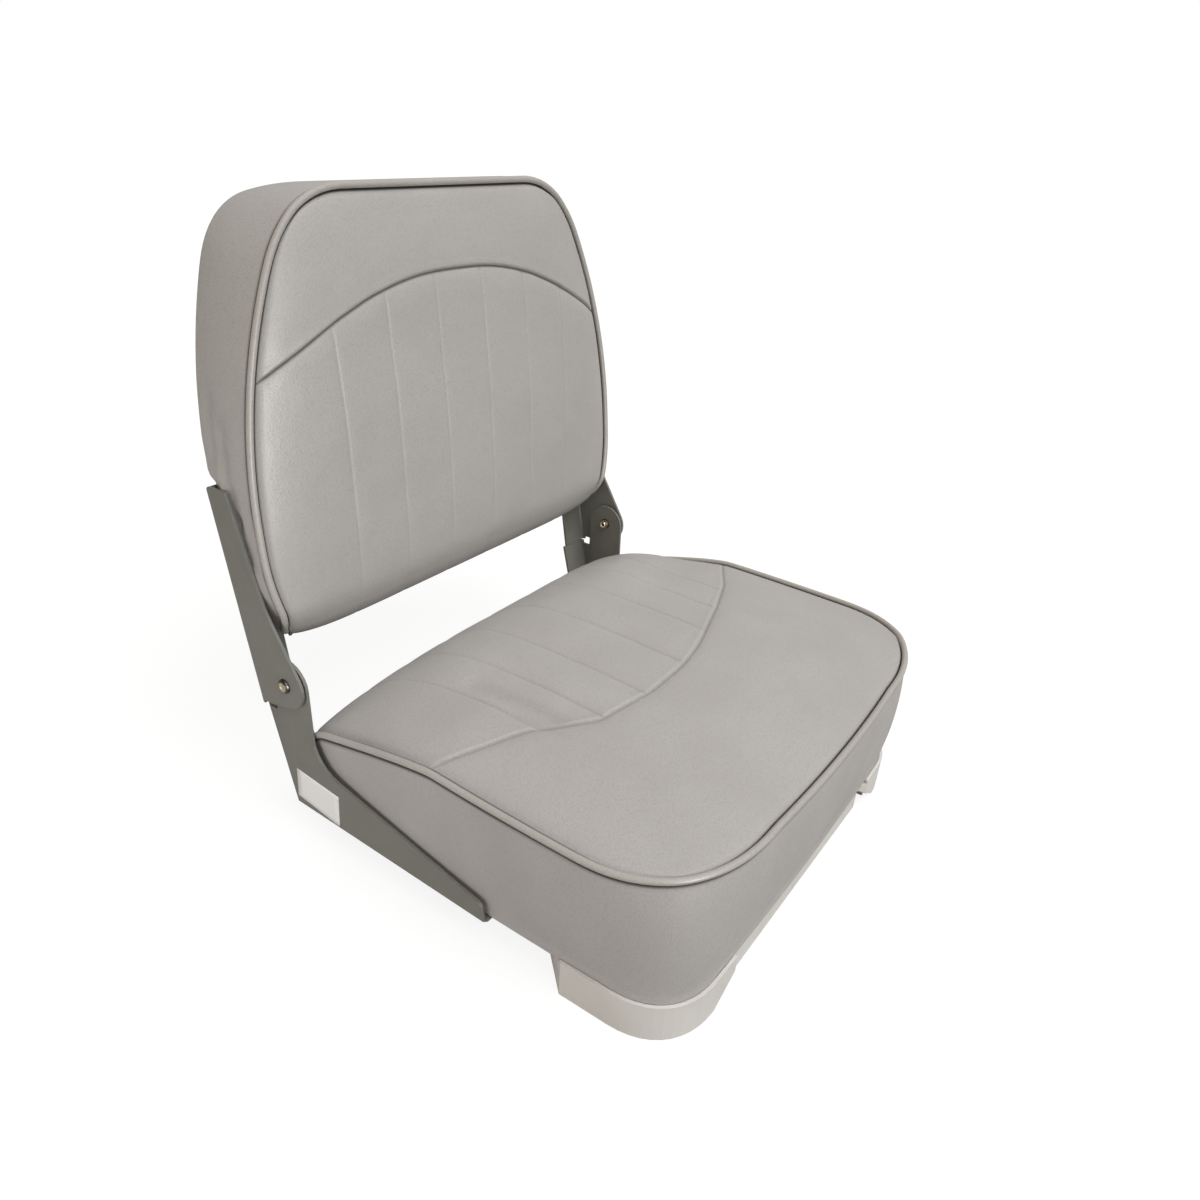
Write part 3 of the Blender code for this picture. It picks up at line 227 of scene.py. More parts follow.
class Outline:
    """The right half of a cushion's outline, as points (x, s), with its two corners marked."""

    def __init__(self, pieces, seam_line):
        self.points = np.concatenate(pieces)
        starts = np.cumsum([0] + [len(piece) for piece in pieces])
        self.low = starts[2] + len(pieces[2]) // 2
        self.high = starts[4] + len(pieces[4]) // 2
        self.seam_line = np.array(seam_line)
        self.seam_end = seam_line[0][1]

    def inset(self, distance):
        """The curve moved inward."""
        along = np.gradient(self.points, axis=0)
        inward = np.column_stack([-along[:, 1], along[:, 0]])
        inward /= np.linalg.norm(inward, axis=1)[:, None]
        return self.points + distance * inward

    def seam(self, columns, bowed=True):
        """How far forward the cross seam lies in each column, with its bends eased."""
        c = np.asarray(columns, float)
        if not bowed:
            return np.full(len(c), self.seam_end)
        ease = 0.035 * (1 - np.abs(c))
        return np.mean([np.interp(c + step * ease, *self.seam_line.T)
                        for step in (-2, -1, 0, 1, 2)], axis=0)

    def grid(self, distance, columns, rows, bowed=True):
        """Rows of (x, s, u, v) for rows given as (behind or ahead of the seam, share)."""
        points = self.inset(distance)
        low = points[:self.low + 1]
        side = points[self.low:self.high + 1]
        high = points[self.high:][::-1]
        seam_end = self.seam_end
        c = np.abs(columns)
        pull = c ** panel_power
        low_x = panel_half + (side[0, 0] - panel_half) * pull
        low_s = np.interp(c * low_x, low[:, 0], low[:, 1])
        high_s = np.interp(c * side[-1, 0], high[:, 0], high[:, 1])
        seam_s = self.seam(columns, bowed)
        made = []
        for part, share in rows:
            edge_s = (side[0, 1] + share * (seam_end - side[0, 1]),
                      seam_end + share * (side[-1, 1] - seam_end))[part]
            edge = np.interp(edge_s, side[:, 1], side[:, 0])
            narrow = part * min(1.0, 2 * share)
            wide = panel_half + (edge - panel_half) * pull
            x = np.asarray(columns) * (wide + (edge - wide) * narrow)
            s = (low_s + share * (seam_s - low_s), seam_s + share * (high_s - seam_s))[part]
            if not bowed and part == 0 and share > 0:
                s = np.full(len(c), edge_s)
            made.append(np.column_stack([x, s, x / edge, (s - low_s) / (high_s - low_s)]))
        return np.array(made)

    def loop(self, distance, columns, rows):
        """The border of a panel, once round, as points (x, s)."""
        return border(self.grid(distance, columns, rows, bowed=False))[:, :2]


def border(rows):
    """The border of an array of rows, once round."""
    return np.concatenate([rows[0], rows[1:-1, -1], rows[-1][::-1], rows[1:-1, 0][::-1]])


# %% [markdown]
# The seat is square behind, where the hinges are, and has large soft corners in front. They are
# drawn as a power curve, a little fuller than a circle, because foam pushes a sewn corner out. The
# backrest is widest low down and has sloping shoulders. A formula for each stretch keeps the edge
# smooth with few numbers.

# %% The cushions' outlines
def rear_pieces(half, rear, radius):
    """The stretch along the rear edge, and the corner where it turns forward."""
    turn = np.linspace(-math.pi / 2, 0, curve_steps)
    corner = np.column_stack([half - radius + radius * np.cos(turn),
                              -rear + radius + radius * np.sin(turn)])
    edge = np.linspace(0, half - radius, curve_steps)[:-1]
    return [np.array([[-1e-5, -rear]]), np.column_stack([edge, np.full(len(edge), -rear)]), corner]


def seat_outline(halves, rear, radius, front, bow, reach_x, reach_s):
    """A seat outline: square behind, with a soft corner in front."""
    corner_s = front - bow - reach_s
    weights = np.polyfit((-rear + radius, 0, corner_s), halves, 2)
    side = np.linspace(-rear + radius, corner_s, curve_steps)[1:-1]
    centre = np.polyval(weights, corner_s) - reach_x
    turn = np.linspace(0, math.pi / 2, curve_steps)
    x = np.linspace(centre, 0, curve_steps)[1:]
    pieces = rear_pieces(halves[0], rear, radius)
    pieces.append(np.column_stack([np.polyval(weights, side), side]))
    pieces.append(np.column_stack([centre + reach_x * np.cos(turn) ** (2 / corner_power),
                                   corner_s + reach_s * np.sin(turn) ** (2 / corner_power)]))
    pieces.append(np.column_stack([x, front - bow * (x / centre) ** 2]))
    return Outline(pieces, seat_seam)


def back_outline(square=0.0):
    """The backrest's outline: widest low down, with sloping shoulders, squarer behind."""
    shoulder_half = back_shoulder_half + back_shoulder_share * square
    pieces = rear_pieces(back_foot_half, 0, back_foot_radius)
    w = np.linspace(back_foot_radius, back_shoulder_w, 2 * curve_steps)[1:-1]
    below = np.clip((back_widest - w) / (back_widest - back_foot_radius), 0, None)
    above = np.clip((w - back_widest) / (back_shoulder_w - back_widest), 0, None)
    half = (back_half - (back_half - back_foot_half) * below ** 2
            - (back_half - shoulder_half) * above ** 2.2)
    pieces.append(np.column_stack([half, w]))
    t = np.linspace(0, 1, curve_steps)[:, None]
    crest = np.array([back_shoulder_crest + square, back_height])
    end = np.array([back_top_half + square, back_height])
    start = np.array([shoulder_half, back_shoulder_w])
    pieces.append((1 - t) ** 2 * start + 2 * t * (1 - t) * crest + t ** 2 * end)
    x = np.linspace(end[0], 0, curve_steps)[1:]
    pieces.append(np.column_stack([x, np.full(len(x), back_height)]))
    return Outline(pieces, back_seam)


seat_seam = [(-1, -0.026), (-0.855, -0.0073), (-0.70, 0.0105), (-0.62, 0.0270), (-0.515, 0.0430),
             (-0.24, 0.0530), (0, 0.0515), (0.18, 0.0445), (0.51, 0.0230), (0.75, 0.0040),
             (1, -0.026)]
back_half_seam = [(0, 0.2470), (0.17, 0.2462), (0.30, 0.2425), (0.45, 0.2350), (0.60, 0.2240),
                  (0.80, 0.2055), (0.93, 0.1945), (1, 0.1900)]
back_seam = [(-c, w) for c, w in back_half_seam[:0:-1]] + back_half_seam
back_foot_half, back_foot_radius = 0.1970, 0.015
back_half, back_widest = 0.2070, 0.075
back_shoulder_w, back_shoulder_half, back_shoulder_crest = 0.265, 0.1635, 0.1398
back_top_half, back_height, back_shoulder_share = 0.095, 0.309, 0.6
seat_rear = 0.168
seat_top_outline = seat_outline((0.1990, 0.2075, 0.2075), seat_rear, 0.016, 0.190, 0.0035,
                                0.105, 0.090)
seat_foot_outline = seat_outline((0.1995, 0.1995, 0.1965), 0.168, 0.028, 0.1805, 0.0025,
                                 0.055, 0.055)
print("seat outline points", len(seat_top_outline.points))

# %% [markdown]
# The seat's top rolls down behind, drops a little in front and is crowned across. Its sides lean in
# to the foot, where the vinyl turns under the board. Each place on the cover has two numbers: on
# the panel a column and a row, on the boxing a place round the border and a ring. So one function
# gives the surface at any fineness, coarse for the cloth simulation and fine for the picture.

# %% The seat's surface
def smooth_step(value, low, high):
    """Rises from 0 to 1 between two places."""
    share = np.clip((value - low) / (high - low), 0, 1)
    return share * share * (3 - 2 * share)


def seat_height(s, u, v):
    """The seat's top surface: rolled down behind, a little down in front, crowned across."""
    rise = seat_rim + seat_crown - seat_rear_height
    behind = 1 - np.clip((s + seat_rear) / seat_roll, 0, 1)
    ahead = np.clip((v - seat_level) / (1 - seat_level), 0, 1)
    centre = (seat_rear_height + rise * (1 - behind ** 3) - seat_crown * ahead ** 2.6)
    lower = np.clip((-s - seat_rim_start) / seat_roll, 0, None)
    rim = seat_rim - seat_rim_drop * lower ** 1.25 + seat_rim_rise * smooth_step(u, 0.3, 1)
    fuller = rear_fullness * smooth_step(-s, 0.03, 0.11) * smooth_step(u, 0, 0.3)
    return rim + (centre - rim) * (1 - np.abs(u) ** (crown_power + fuller))


seat_rim, seat_crown, seat_rear_height, seat_roll = 0.139, 0.020, 0.107, 0.130
seat_level, seat_rim_start, seat_rim_drop, seat_rim_rise = 0.45, 0.020, 0.034, 0.006
rear_fullness = 4
seat_bulge, seat_pinch = 0.0040, 0.0014
bracket_nose_y, bracket_grip = -0.0220, 0.045
hem_width = 0.016


def tucked(place, reach):
    """How far a cushion's edge turns under, from 0 to a quarter turn, at a place above it."""
    return np.clip((reach - place) / (reach - edge_notch), 0, 1) * math.pi / 2


seat_tuck, seat_tuck_drop, seat_tuck_swell, tuck_rise = 0.026, 0.012, 0.0095, 0.0030


def seat_panel(columns, rows, depth=0.0, side=0.0):
    """The seat's top panel as rows of points, which rolls under at its rear edge."""
    grid = seat_top_outline.grid(edge_notch + side, columns, rows)
    x, s, u, v = np.moveaxis(grid, 2, 0)
    turn = tucked(s + seat_rear, seat_tuck)
    heights = seat_height(s, u, v) - depth - seat_tuck_drop * (1 - np.cos(turn))
    level = (s - seat_tuck_swell * np.sin(turn) ** 2 * (1 - 0.45 * np.abs(u) ** 8)
             + tuck_rise * smooth_step(turn, 1.2, 1.57))
    return np.dstack([x, -level, heights])


def seat_side(columns, rows, shares, depth=0.0, side=0.0):
    """Rings down the seat's boxing, from its piped edge to the top of the board."""
    top = seat_top_outline.loop(side, columns, rows)
    outward = (seat_top_outline.loop(side - 1e-5, columns, rows) - top) / 1e-5
    foot = seat_foot_outline.loop(side, columns, rows)
    edge = border(seat_panel(columns, rows, depth, side))[:, 2] - edge_notch
    rings = []
    for share in shares:
        loop = top + share * (foot - top)
        free = smooth_step(loop[:, 1], -bracket_nose_y, -bracket_nose_y + bracket_grip)
        swell = 4 * share * (1 - share) * (seat_bulge * free - seat_pinch * (1 - free))
        loop = loop + outward * swell[:, None]
        heights = edge + share * (foam_low - edge)
        rings.append(np.column_stack([loop[:, 0], -loop[:, 1], heights]))
    return rings


def seat_level_ring(columns, rows, side, height):
    """A level ring of the seat's foot outline."""
    loop = seat_foot_outline.loop(side, columns, rows)
    return np.column_stack([loop[:, 0], -loop[:, 1], np.full(len(loop), height)])


# %% [markdown]
# The backrest leans back a little. Low down its boxing lies on the two steel arms, which widen
# upward, and above them it steps out and gets deeper, as the foam was cut. Its front is crowned
# and its lower edge rolls under.

# %% The backrest's surface
back_foot_y, back_foot_z = 0.172, 0.175
back_lean = math.radians(5.4)
back_crown, back_bulge = 0.0108, 0.0025
back_grip_w, back_knee_w = 0.1185, 0.150
back_ledge, back_ledge_depth = 0.006, 0.009
back_knee_depth, back_top_depth = 0.062, 0.076
back_rear_inset, back_rear_round, back_rear_square = 0.001, 0.008, 0.012
arm_foot = Vector((0.204, 0.1165 + gap))
arm_top = Vector((0.2345, 0.287))


def back_point(x, w, depth):
    """A point of the backrest: across, up its front panel, and in behind the panel."""
    return np.stack([x, back_foot_y + w * math.sin(back_lean) + depth * math.cos(back_lean),
                     back_foot_z + w * math.cos(back_lean) - depth * math.sin(back_lean)], axis=-1)


def back_depth(w):
    """How deep the cushion is behind its front panel, resting on the arms low down."""
    along = (arm_top - arm_foot).normalized()
    behind = Vector((along.y, -along.x))
    start = behind.dot(Vector((back_foot_y, back_foot_z)) - arm_foot)
    rise = behind.dot(Vector((math.sin(back_lean), math.cos(back_lean))))
    slope = behind.dot(Vector((math.cos(back_lean), -math.sin(back_lean))))
    rest = [(-sheet - gap - start - place * rise) / slope for place in (0, back_grip_w)]
    places = (0, back_grip_w, back_grip_w + back_ledge, back_knee_w, back_height)
    return np.interp(w, places, rest + [rest[1] + back_ledge_depth, back_knee_depth,
                                        back_top_depth])


back_tuck, back_tuck_depth, back_tuck_swell = 0.026, 0.016, 0.0135
back_across_power, back_along_power, back_below_power = 8, 4, 2


def back_panel(columns, rows, depth=0.0, side=0.0):
    """The backrest's crowned front panel, which rolls under at its lower edge."""
    grid = back_outline().grid(edge_notch + side, columns, rows)
    x, w, u, v = np.moveaxis(grid, 2, 0)
    above = np.clip(2 * v - 1, 0, 1)
    below = np.clip(1 - 2 * v, 0, 1)
    crown = (back_crown * (1 - np.abs(u) ** back_across_power)
             * (1 - above ** back_along_power) * (1 - 0.9 * below ** back_below_power))
    turn = tucked(w, back_tuck)
    under = back_tuck_depth * (1 - np.cos(turn))
    level = (w - back_tuck_swell * np.sin(turn) ** 2 * (1 - 0.6 * np.abs(u) ** 8)
             + tuck_rise * smooth_step(turn, 1.2, 1.57))
    return back_point(x, level, depth - crown + under)


def back_rear_panel(columns, rows, depth=0.0, side=0.0):
    """The backrest's rear panel as rows of points."""
    outline = back_outline(back_rear_square)
    grid = outline.grid(back_rear_inset + back_rear_round + side, columns, rows, bowed=False)
    x, w = grid[:, :, 0], grid[:, :, 1]
    return back_point(x, w, back_depth(w) - depth)


def back_side(columns, rows, shares, depth=0.0, side=0.0, rear=0.0):
    """Rings along the backrest's boxing, from its piped edge to its rear edge."""
    limit = arm_half - sheet - gap - side
    rings = []
    for share in shares:
        swell = back_bulge * 4 * share * (1 - share) - back_rear_inset * share
        loop = back_outline(back_rear_square * share).loop(side - swell, columns, rows)
        gripped = loop[:, 1] < back_grip_w
        loop[gripped, 0] = np.clip(loop[gripped, 0], -limit, limit)
        behind = back_depth(loop[:, 1]) - back_rear_round * share - rear
        start = (edge_notch + depth
                 + back_tuck_depth * (1 - np.cos(tucked(loop[:, 1], back_tuck))))
        rings.append(back_point(loop[:, 0], loop[:, 1], start + share * (behind - start)))
    return rings


# %% [markdown]
# A sewn line needs close rows of points beside it and wide ones between, or its groove would look
# like a staircase. So the places for rows and columns are worked out from the lines of stitching.

# %% Places for rows and columns
half_channels = {"seat": [0, 0.055, 0.098, 0.136], "back": [0.026, 0.077, 0.128]}
channels = {name: sorted({side * x for x in xs for side in (-1, 1)})
            for name, xs in half_channels.items()}
near = (0.0006, 0.0013, 0.0022, 0.0034, 0.0050)


def places_between(lines, step=0.0045):
    """Places along a way: close together at each line, wider between."""
    places = []
    for start, end in zip(lines, lines[1:]):
        inner = np.linspace(start + near[-1], end - near[-1],
                            max(2, math.ceil((end - start - 2 * near[-1]) / step)) + 1)
        places += [start] + [start + offset for offset in near[:-1]] + list(inner)
        places += [end - offset for offset in near[-2::-1]]
    return np.array(places + [lines[-1]])


def panel_columns(name):
    """Column shares for a panel with its channels."""
    return places_between([-panel_half] + channels[name] + [panel_half]) / panel_half


def panel_rows(below, above):
    """Row places as (part, share) for a panel with its cross seam."""
    low = [(0, place / below) for place in places_between([0, below])]
    high = [(1, place / above) for place in places_between([0, above])]
    return low + high[1:]


def even_rows(step, below, above):
    """Evenly spaced row places, for the simulation."""
    low, high = round(below / step), round(above / step)
    return ([(0, k / low) for k in range(low + 1)]
            + [(1, k / high) for k in range(1, high + 1)])


def row_places(rows):
    """One number for each row, from 0 to 1 behind the seam and on to 2 ahead of it."""
    return np.array([part + share for part, share in rows])


def round_places(columns, rows):
    """One number for each point of a panel's border, running from 0 to 8 once round."""
    c, r = np.asarray(columns), row_places(rows)
    return np.concatenate([c + 1, 2 + r[1:-1], 4 + (1 - c[::-1]), 6 + (2 - r[1:-1][::-1])])


# %% [markdown]
# A cushion's mesh is built in two steps: a grid for a panel, and rings of points for what goes
# round it. Plain loops of faces join them, so every face is a clean four-sided one.

# %% Meshes from points
def add_grid(shape, points):
    """Add a grid of points to a bmesh and give its vertices."""
    verts = [[shape.verts.new(point) for point in row] for row in points]
    for low, high in zip(verts, verts[1:]):
        for k in range(len(low) - 1):
            shape.faces.new([low[k], low[k + 1], high[k + 1], high[k]])
    return verts


def bridge(shape, ring, other):
    """Add the faces between two closed rings of vertices."""
    for k in range(len(ring)):
        after = (k + 1) % len(ring)
        shape.faces.new([ring[k], ring[after], other[after], other[k]])


def add_rings(shape, start, rings):
    """Add rings of points, joined to each other and to a first ring of vertices."""
    for points in rings:
        ring = [shape.verts.new(point) for point in points]
        bridge(shape, start, ring)
        start = ring
    return start


def border_verts(verts):
    """The border of a grid of vertices, in the order that border() gives."""
    return (list(verts[0]) + [row[-1] for row in verts[1:-1]] + list(verts[-1])[::-1]
            + [row[0] for row in verts[1:-1]][::-1])


def made(name, shape):
    """A smooth mesh object from a bmesh, with its faces outward."""
    bmesh.ops.recalc_face_normals(shape, faces=shape.faces)
    mesh = bpy.data.meshes.new(name)
    shape.to_mesh(mesh)
    shape.free()
    mesh.shade_smooth()
    return linked(name, mesh)


# %% [markdown]
# Vinyl is knit-backed plastic skin. Over foam it pulls tight between its stitched lines and swells
# where nothing holds it. The cloth simulation finds that swell on a coarse copy: the piped edges,
# the sewn lines, the hem and the stretch behind the steel arms are pinned, and a low pressure
# fills the rest. The fine cover then takes the swell over and gets its sewn lines.

# %% Cloth
cloth_frames = 20
cloth_settings = {"vertex_group_mass": "pinned", "use_pressure": True,
                  "uniform_pressure_force": 4.0, "tension_stiffness": 20,
                  "compression_stiffness": 20, "shear_stiffness": 8, "bending_stiffness": 1.5,
                  "quality": 6}


def simulated(name, points, faces, pinned):
    """The moves that cloth under pressure makes from its rest points."""
    mesh = bpy.data.meshes.new(name)
    mesh.from_pydata([tuple(p) for p in points], [], faces)
    item = linked(name, mesh)
    group = item.vertex_groups.new(name="pinned")
    for index, weight in enumerate(pinned):
        if weight > 0:
            group.add([index], float(weight), "REPLACE")
    cloth = item.modifiers.new("cloth", "CLOTH")
    cloth.settings.effector_weights.gravity = 0
    for setting, value in cloth_settings.items():
        setattr(cloth.settings, setting, value)
    cloth.point_cache.frame_start = 1
    cloth.point_cache.frame_end = cloth_frames
    scene = bpy.context.scene
    for frame_number in range(1, cloth_frames + 1):
        scene.frame_set(frame_number)
    graph = bpy.context.evaluated_depsgraph_get()
    result = item.evaluated_get(graph).to_mesh()
    moved = np.empty(len(result.vertices) * 3)
    result.vertices.foreach_get("co", moved)
    item.evaluated_get(graph).to_mesh_clear()
    bpy.data.objects.remove(item)
    scene.frame_set(1)
    return moved.reshape(-1, 3) - np.asarray(points)

# %% [markdown]
# A sewn line is a stitched groove about 2 mm deep: the top skin dips to it on both sides in a round
# shoulder. The seam across each cushion is two panels joined: one folds down under the other, so it
# has a step, a thin gap darkened with painted shade, and a rounded edge. Near a seam the cloth
# puckers in short waves. Painted shade also darkens the stitched lines, a band along the piped
# edge, the edge where it rolls under, and the seat's folds.

# %% Grooves, seams and puckers
channel_dip = {"seat": 0.0017, "back": 0.0012}
channel_reach = {"seat": 0.0050, "back": 0.0040}
lip_side = {"seat": 1, "back": -1}
seam_dip, seam_reach, seam_sharp = 0.0024, 0.0046, 0.0009
seam_lip, seam_lip_place, seam_lip_width = 0.0010, 0.0030, 0.0018
# The _shade numbers set how dark painted shade makes the seam, the stitches, the piped edge, the
# rolled-under edge and the folds.
seam_shade, seam_width = {"seat": 0.30, "back": 0.80}, 0.0010
stitch_shade, stitch_width = {"seat": 0.12, "back": 0.05}, 0.0008
edge_dip, edge_reach, edge_hold = 0.0014, 0.0030, 0.007
edge_shade, edge_shade_reach, roll_shade, fold_shade = 0.06, 0.0035, 0.8, 38
lump_height, lump_size, lump_start = 0.0011, 0.060, 0.040
pucker_height, pucker_size, pucker_reach = 0.0005, 0.009, 0.010


def groove(distance, depth, reach, sharp=0.0011):
    """How far a stitched line pulls the skin down at a distance from it."""
    d = np.abs(distance)
    wide = np.exp(-(d / reach) ** 1.3)
    thin = np.exp(-(d / sharp) ** 2)
    return depth * (0.62 * wide + 0.38 * thin)


def wave(places, scale, seed):
    """Smooth noise at points, from -1 to 1."""
    offset = Vector((seed * 7.31, seed * 3.17, seed * 5.77))
    return np.array([noise.noise(Vector(p) / scale + offset) for p in places.reshape(-1, 3)]
                    ).reshape(places.shape[:-1])


seat_folds = [((-0.123, -0.060), (-0.121, 0.018), 0.0028, 0.0066),
              ((-0.134, -0.010), (-0.133, 0.030), 0.0009, 0.0040),
              ((-0.106, -0.044), (-0.108, 0.004), -0.0008, 0.0050)]
side_folds = [((0.218, 0.330), (0.207, 0.266), 0.0026, 0.0060),
              ((0.207, 0.266), (0.196, 0.238), 0.0020, 0.0050),
              ((0.219, 0.300), (0.211, 0.245), -0.0008, 0.0045),
              ((0.234, 0.345), (0.228, 0.308), 0.0022, 0.0065)]


def folded(across, along, lines):
    """How far folds press in, each a line between two places with a depth and a width."""
    total = np.zeros(np.shape(across))
    for start, end, depth, width in lines:
        way = np.subtract(end, start)
        share = ((across - start[0]) * way[0] + (along - start[1]) * way[1]) / (way @ way)
        share = np.clip(share, 0, 1)
        apart = np.hypot(across - start[0] - share * way[0], along - start[1] - share * way[1])
        total += depth * np.exp(-(apart / width) ** 2)
    return total


def seam_distance(outline, grid_s, columns):
    """Each place's distance ahead of the seam, square to it."""
    c = np.asarray(columns)
    seam = outline.seam(c)
    x = c * panel_half
    slope = np.gradient(seam, x)
    return (grid_s - seam) / np.sqrt(1 + slope ** 2)


def shade(distance, width):
    """1 on a line, fading over a width."""
    return np.exp(-(distance / width) ** 2)


def sewn_panel(name, outline, points, grid, columns, normals, turn):
    """A panel's points with its sewn lines pressed in, and how much painted shade each gets."""
    x, s, u, v = np.moveaxis(grid, 2, 0)
    ahead = seam_distance(outline, s, columns)
    inside = np.minimum(np.minimum(v, 1 - v) * (s[-1:] - s[:1]), (1 - np.abs(u)) * panel_half)
    behind = smooth_step(-ahead, -0.0005, 0.0025)
    down = groove(ahead, seam_dip, seam_reach, seam_sharp)
    # Painted shade along the seam, the panel's edge and its rolled-under part.
    shades = [seam_shade[name] * shade(ahead, seam_width), shade(inside, stitch_width),
              edge_shade * shade(inside, edge_shade_reach),
              roll_shade * smooth_step(turn, 0.9, 1.5)]
    for line in channels[name]:
        nearness = np.abs(columns - line / panel_half) * panel_half
        dip = groove(nearness, channel_dip[name], channel_reach[name])
        down += dip * behind * (0.45 + 0.55 * smooth_step(v, 0.0, 0.45))
        shades.append(stitch_shade[name] * shade(nearness, stitch_width) * behind
                      * smooth_step(v, 0.05, 0.55))
    if name == "seat":
        press = folded(x, s, seat_folds)
        down += press
        shades.append(fold_shade * press)
    down -= seam_lip * shade(ahead + lip_side[name] * seam_lip_place, seam_lip_width)
    ripple = wave(points, pucker_size, 1) * np.exp(-np.abs(ahead) / pucker_reach)
    down -= pucker_height * ripple * np.abs(np.tanh(ahead / 0.003))
    lumps = wave(points, lump_size, 2) + 0.35 * wave(points, lump_size / 3, 3)
    down = (down * smooth_step(inside, 0.0, edge_hold)
            - lump_height * lumps * smooth_step(inside, 0.0, lump_start))
    down += edge_dip * shade(inside, edge_reach)
    return points - normals * down[:, :, None], np.maximum.reduce(shades)


def grid_normals(points, outward):
    """Unit normals of a grid of points, on the side of a direction."""
    across = np.gradient(points, axis=1)
    along = np.gradient(points, axis=0)
    normals = np.cross(across, along)
    normals /= np.linalg.norm(normals, axis=2)[:, :, None]
    return normals * np.sign(normals @ np.asarray(outward))[:, :, None]


# %% [markdown]
# The coarse copy of each cushion is a panel with its boxing. It is simulated once. Its moves are
# kept by place, so that the fine cover can look them up between the coarse copy's points.

# %% Swell from the cloth
cap = {"seat": 0.0030, "back": 0.0026}
coarse_step, foam_step = 0.0062, 0.016
coarse_lengths = {"seat": (0.131, 0.12), "back": (0.193, 0.10)}


def coarse_copy(panel, rings, flip):
    """Points and faces of a panel with its boxing rings, all facing out."""
    rows, columns = panel.shape[:2]
    index = np.arange(rows * columns).reshape(rows, columns)
    faces = [(index[r, c], index[r, c + 1], index[r + 1, c + 1], index[r + 1, c])
             for r in range(rows - 1) for c in range(columns - 1)]
    edge = border(index)
    points = [panel.reshape(-1, 3)]
    start, total, ring_index = edge, rows * columns, []
    for ring in rings:
        here = np.arange(total, total + len(ring))
        faces += [(start[(k + 1) % len(ring)], start[k], here[k], here[(k + 1) % len(ring)])
                  for k in range(len(ring))]
        points.append(ring)
        ring_index.append(here)
        start, total = here, total + len(ring)
    faces = [tuple(int(i) for i in (face[::-1] if flip else face)) for face in faces]
    return np.concatenate(points), faces, index, np.array(ring_index)


def settle(moves, limit):
    """Moves held to a limit without a hard stop."""
    size = np.linalg.norm(moves, axis=-1, keepdims=True)
    return moves * (limit * np.tanh(size / limit) / np.maximum(size, 1e-9))


def along_way(moves, places, new_places, period=None):
    """Rows of moves at places along a way, looked up at new places."""
    found = [np.interp(new_places, places, column, period=period)
             for column in moves.reshape(len(places), -1).T]
    return np.array(found).T.reshape(len(new_places), *moves.shape[1:])


def looked_up(moves, along, new_along, across, new_across, period=None):
    """A grid of moves, looked up at new places across and along it."""
    moves = along_way(moves.swapaxes(0, 1), across, new_across, period)
    return along_way(moves.swapaxes(0, 1), along, new_along)


def simulated_moves(name, panel_of, side_of, rows, shares, held):
    """A cushion's coarse columns, and how its panel and its boxing rings swell."""
    columns = np.linspace(-1, 1, 61)
    lines = np.array(channels[name]) / panel_half
    nearest = [int(np.argmin(np.abs(columns - line))) for line in lines]
    columns[nearest] = lines
    rings = side_of(columns, rows, shares)
    points, faces, index, ring_index = coarse_copy(panel_of(columns, rows), rings, name == "seat")
    parts = row_places(rows)
    pinned = np.zeros(len(points))
    pinned[index[np.isclose(parts, 1)]] = 1
    pinned[index[parts <= 1][:, nearest]] = 1
    pinned[border(index)] = 1
    pinned[ring_index[[0, -1]]] = 1
    pinned[ring_index[held(np.array(rings))]] = 1
    moves = settle(simulated(f"{name}_cloth", points, faces, pinned), cap[name])
    print(name, "swell, mm", round(1000 * float(np.linalg.norm(moves, axis=1).max()), 2))
    return columns, moves[index], moves[ring_index]

# %% [markdown]
# The panel and the boxing meet in a narrow dip, and the piping cord sits in it. Shadow makes that
# dip the darkest line on the cushion, so shade is painted there: each point of a cover carries a
# number that says how much painted crease shade it gets. The vinyl's finish reads it.

# %% Dip, cord and painted crease shade
valley_depth = 0.0030
cord_radius, cord_stand, cord_sink = 0.0025, 0.0013, 0.0035
# How far the painted crease shade reaches from the dip into the boxing.
crease_shade_start, crease_shade_fade, crease_shade_rings = 0.0036, 0.0007, 6


def valley(inner, outer, depth):
    """The ring where a panel and its boxing meet under the cord, and the way out from it."""
    middle = (inner + outer) / 2
    around = np.roll(middle, -1, axis=0) - np.roll(middle, 1, axis=0)
    away = np.cross(around, inner - outer)
    away /= np.linalg.norm(away, axis=1)[:, None]
    away *= np.sign(np.einsum("ij,ij->i", away, middle - middle.mean(axis=0)))[:, None]
    return middle - away * depth, away


def cord_lift(place, reach):
    """How far out of its valley the cord lies: less where the panel rolls over it."""
    hidden = smooth_step(tucked(place, reach), 1.1, 1.5)
    return (valley_depth + cord_stand - cord_sink * hidden)[:, None]


def paint_crease_shade(item, panel_shade, rings, start):
    """Keep how much painted shade each place gets in a crease, for the vinyl's finish."""
    values = [panel_shade.ravel(), np.ones(len(start))]
    for ring in rings[:crease_shade_rings]:
        apart = np.linalg.norm(ring - start, axis=1)
        values.append(shade(np.clip(apart - crease_shade_start, 0, None), crease_shade_fade))
    values = np.concatenate(values)
    values = np.concatenate([values, np.zeros(len(item.data.vertices) - len(values))])
    layer = item.data.attributes.new("crease_shade", "FLOAT", "POINT")
    layer.data.foreach_set("value", values.astype(np.float32))


# %% [markdown]
# The seat's cover is an open skin: panel, boxing, a turned foot and a hem stapled up under the
# board. It gets the vinyl's thickness on its inner side, which closes it. Both covers are made by
# one function, because they are cut and sewn alike.

# %% Seat cover
turn_steps = 6
foot_turn, fold_width, grip_margin = 0.003, 0.009, 0.02
side_shares = np.concatenate([[0.010, 0.018, 0.030, 0.05], np.linspace(0.08, 1, 20)])
row_lengths = {"seat": (0.165, 0.128), "back": (0.210, 0.090)}


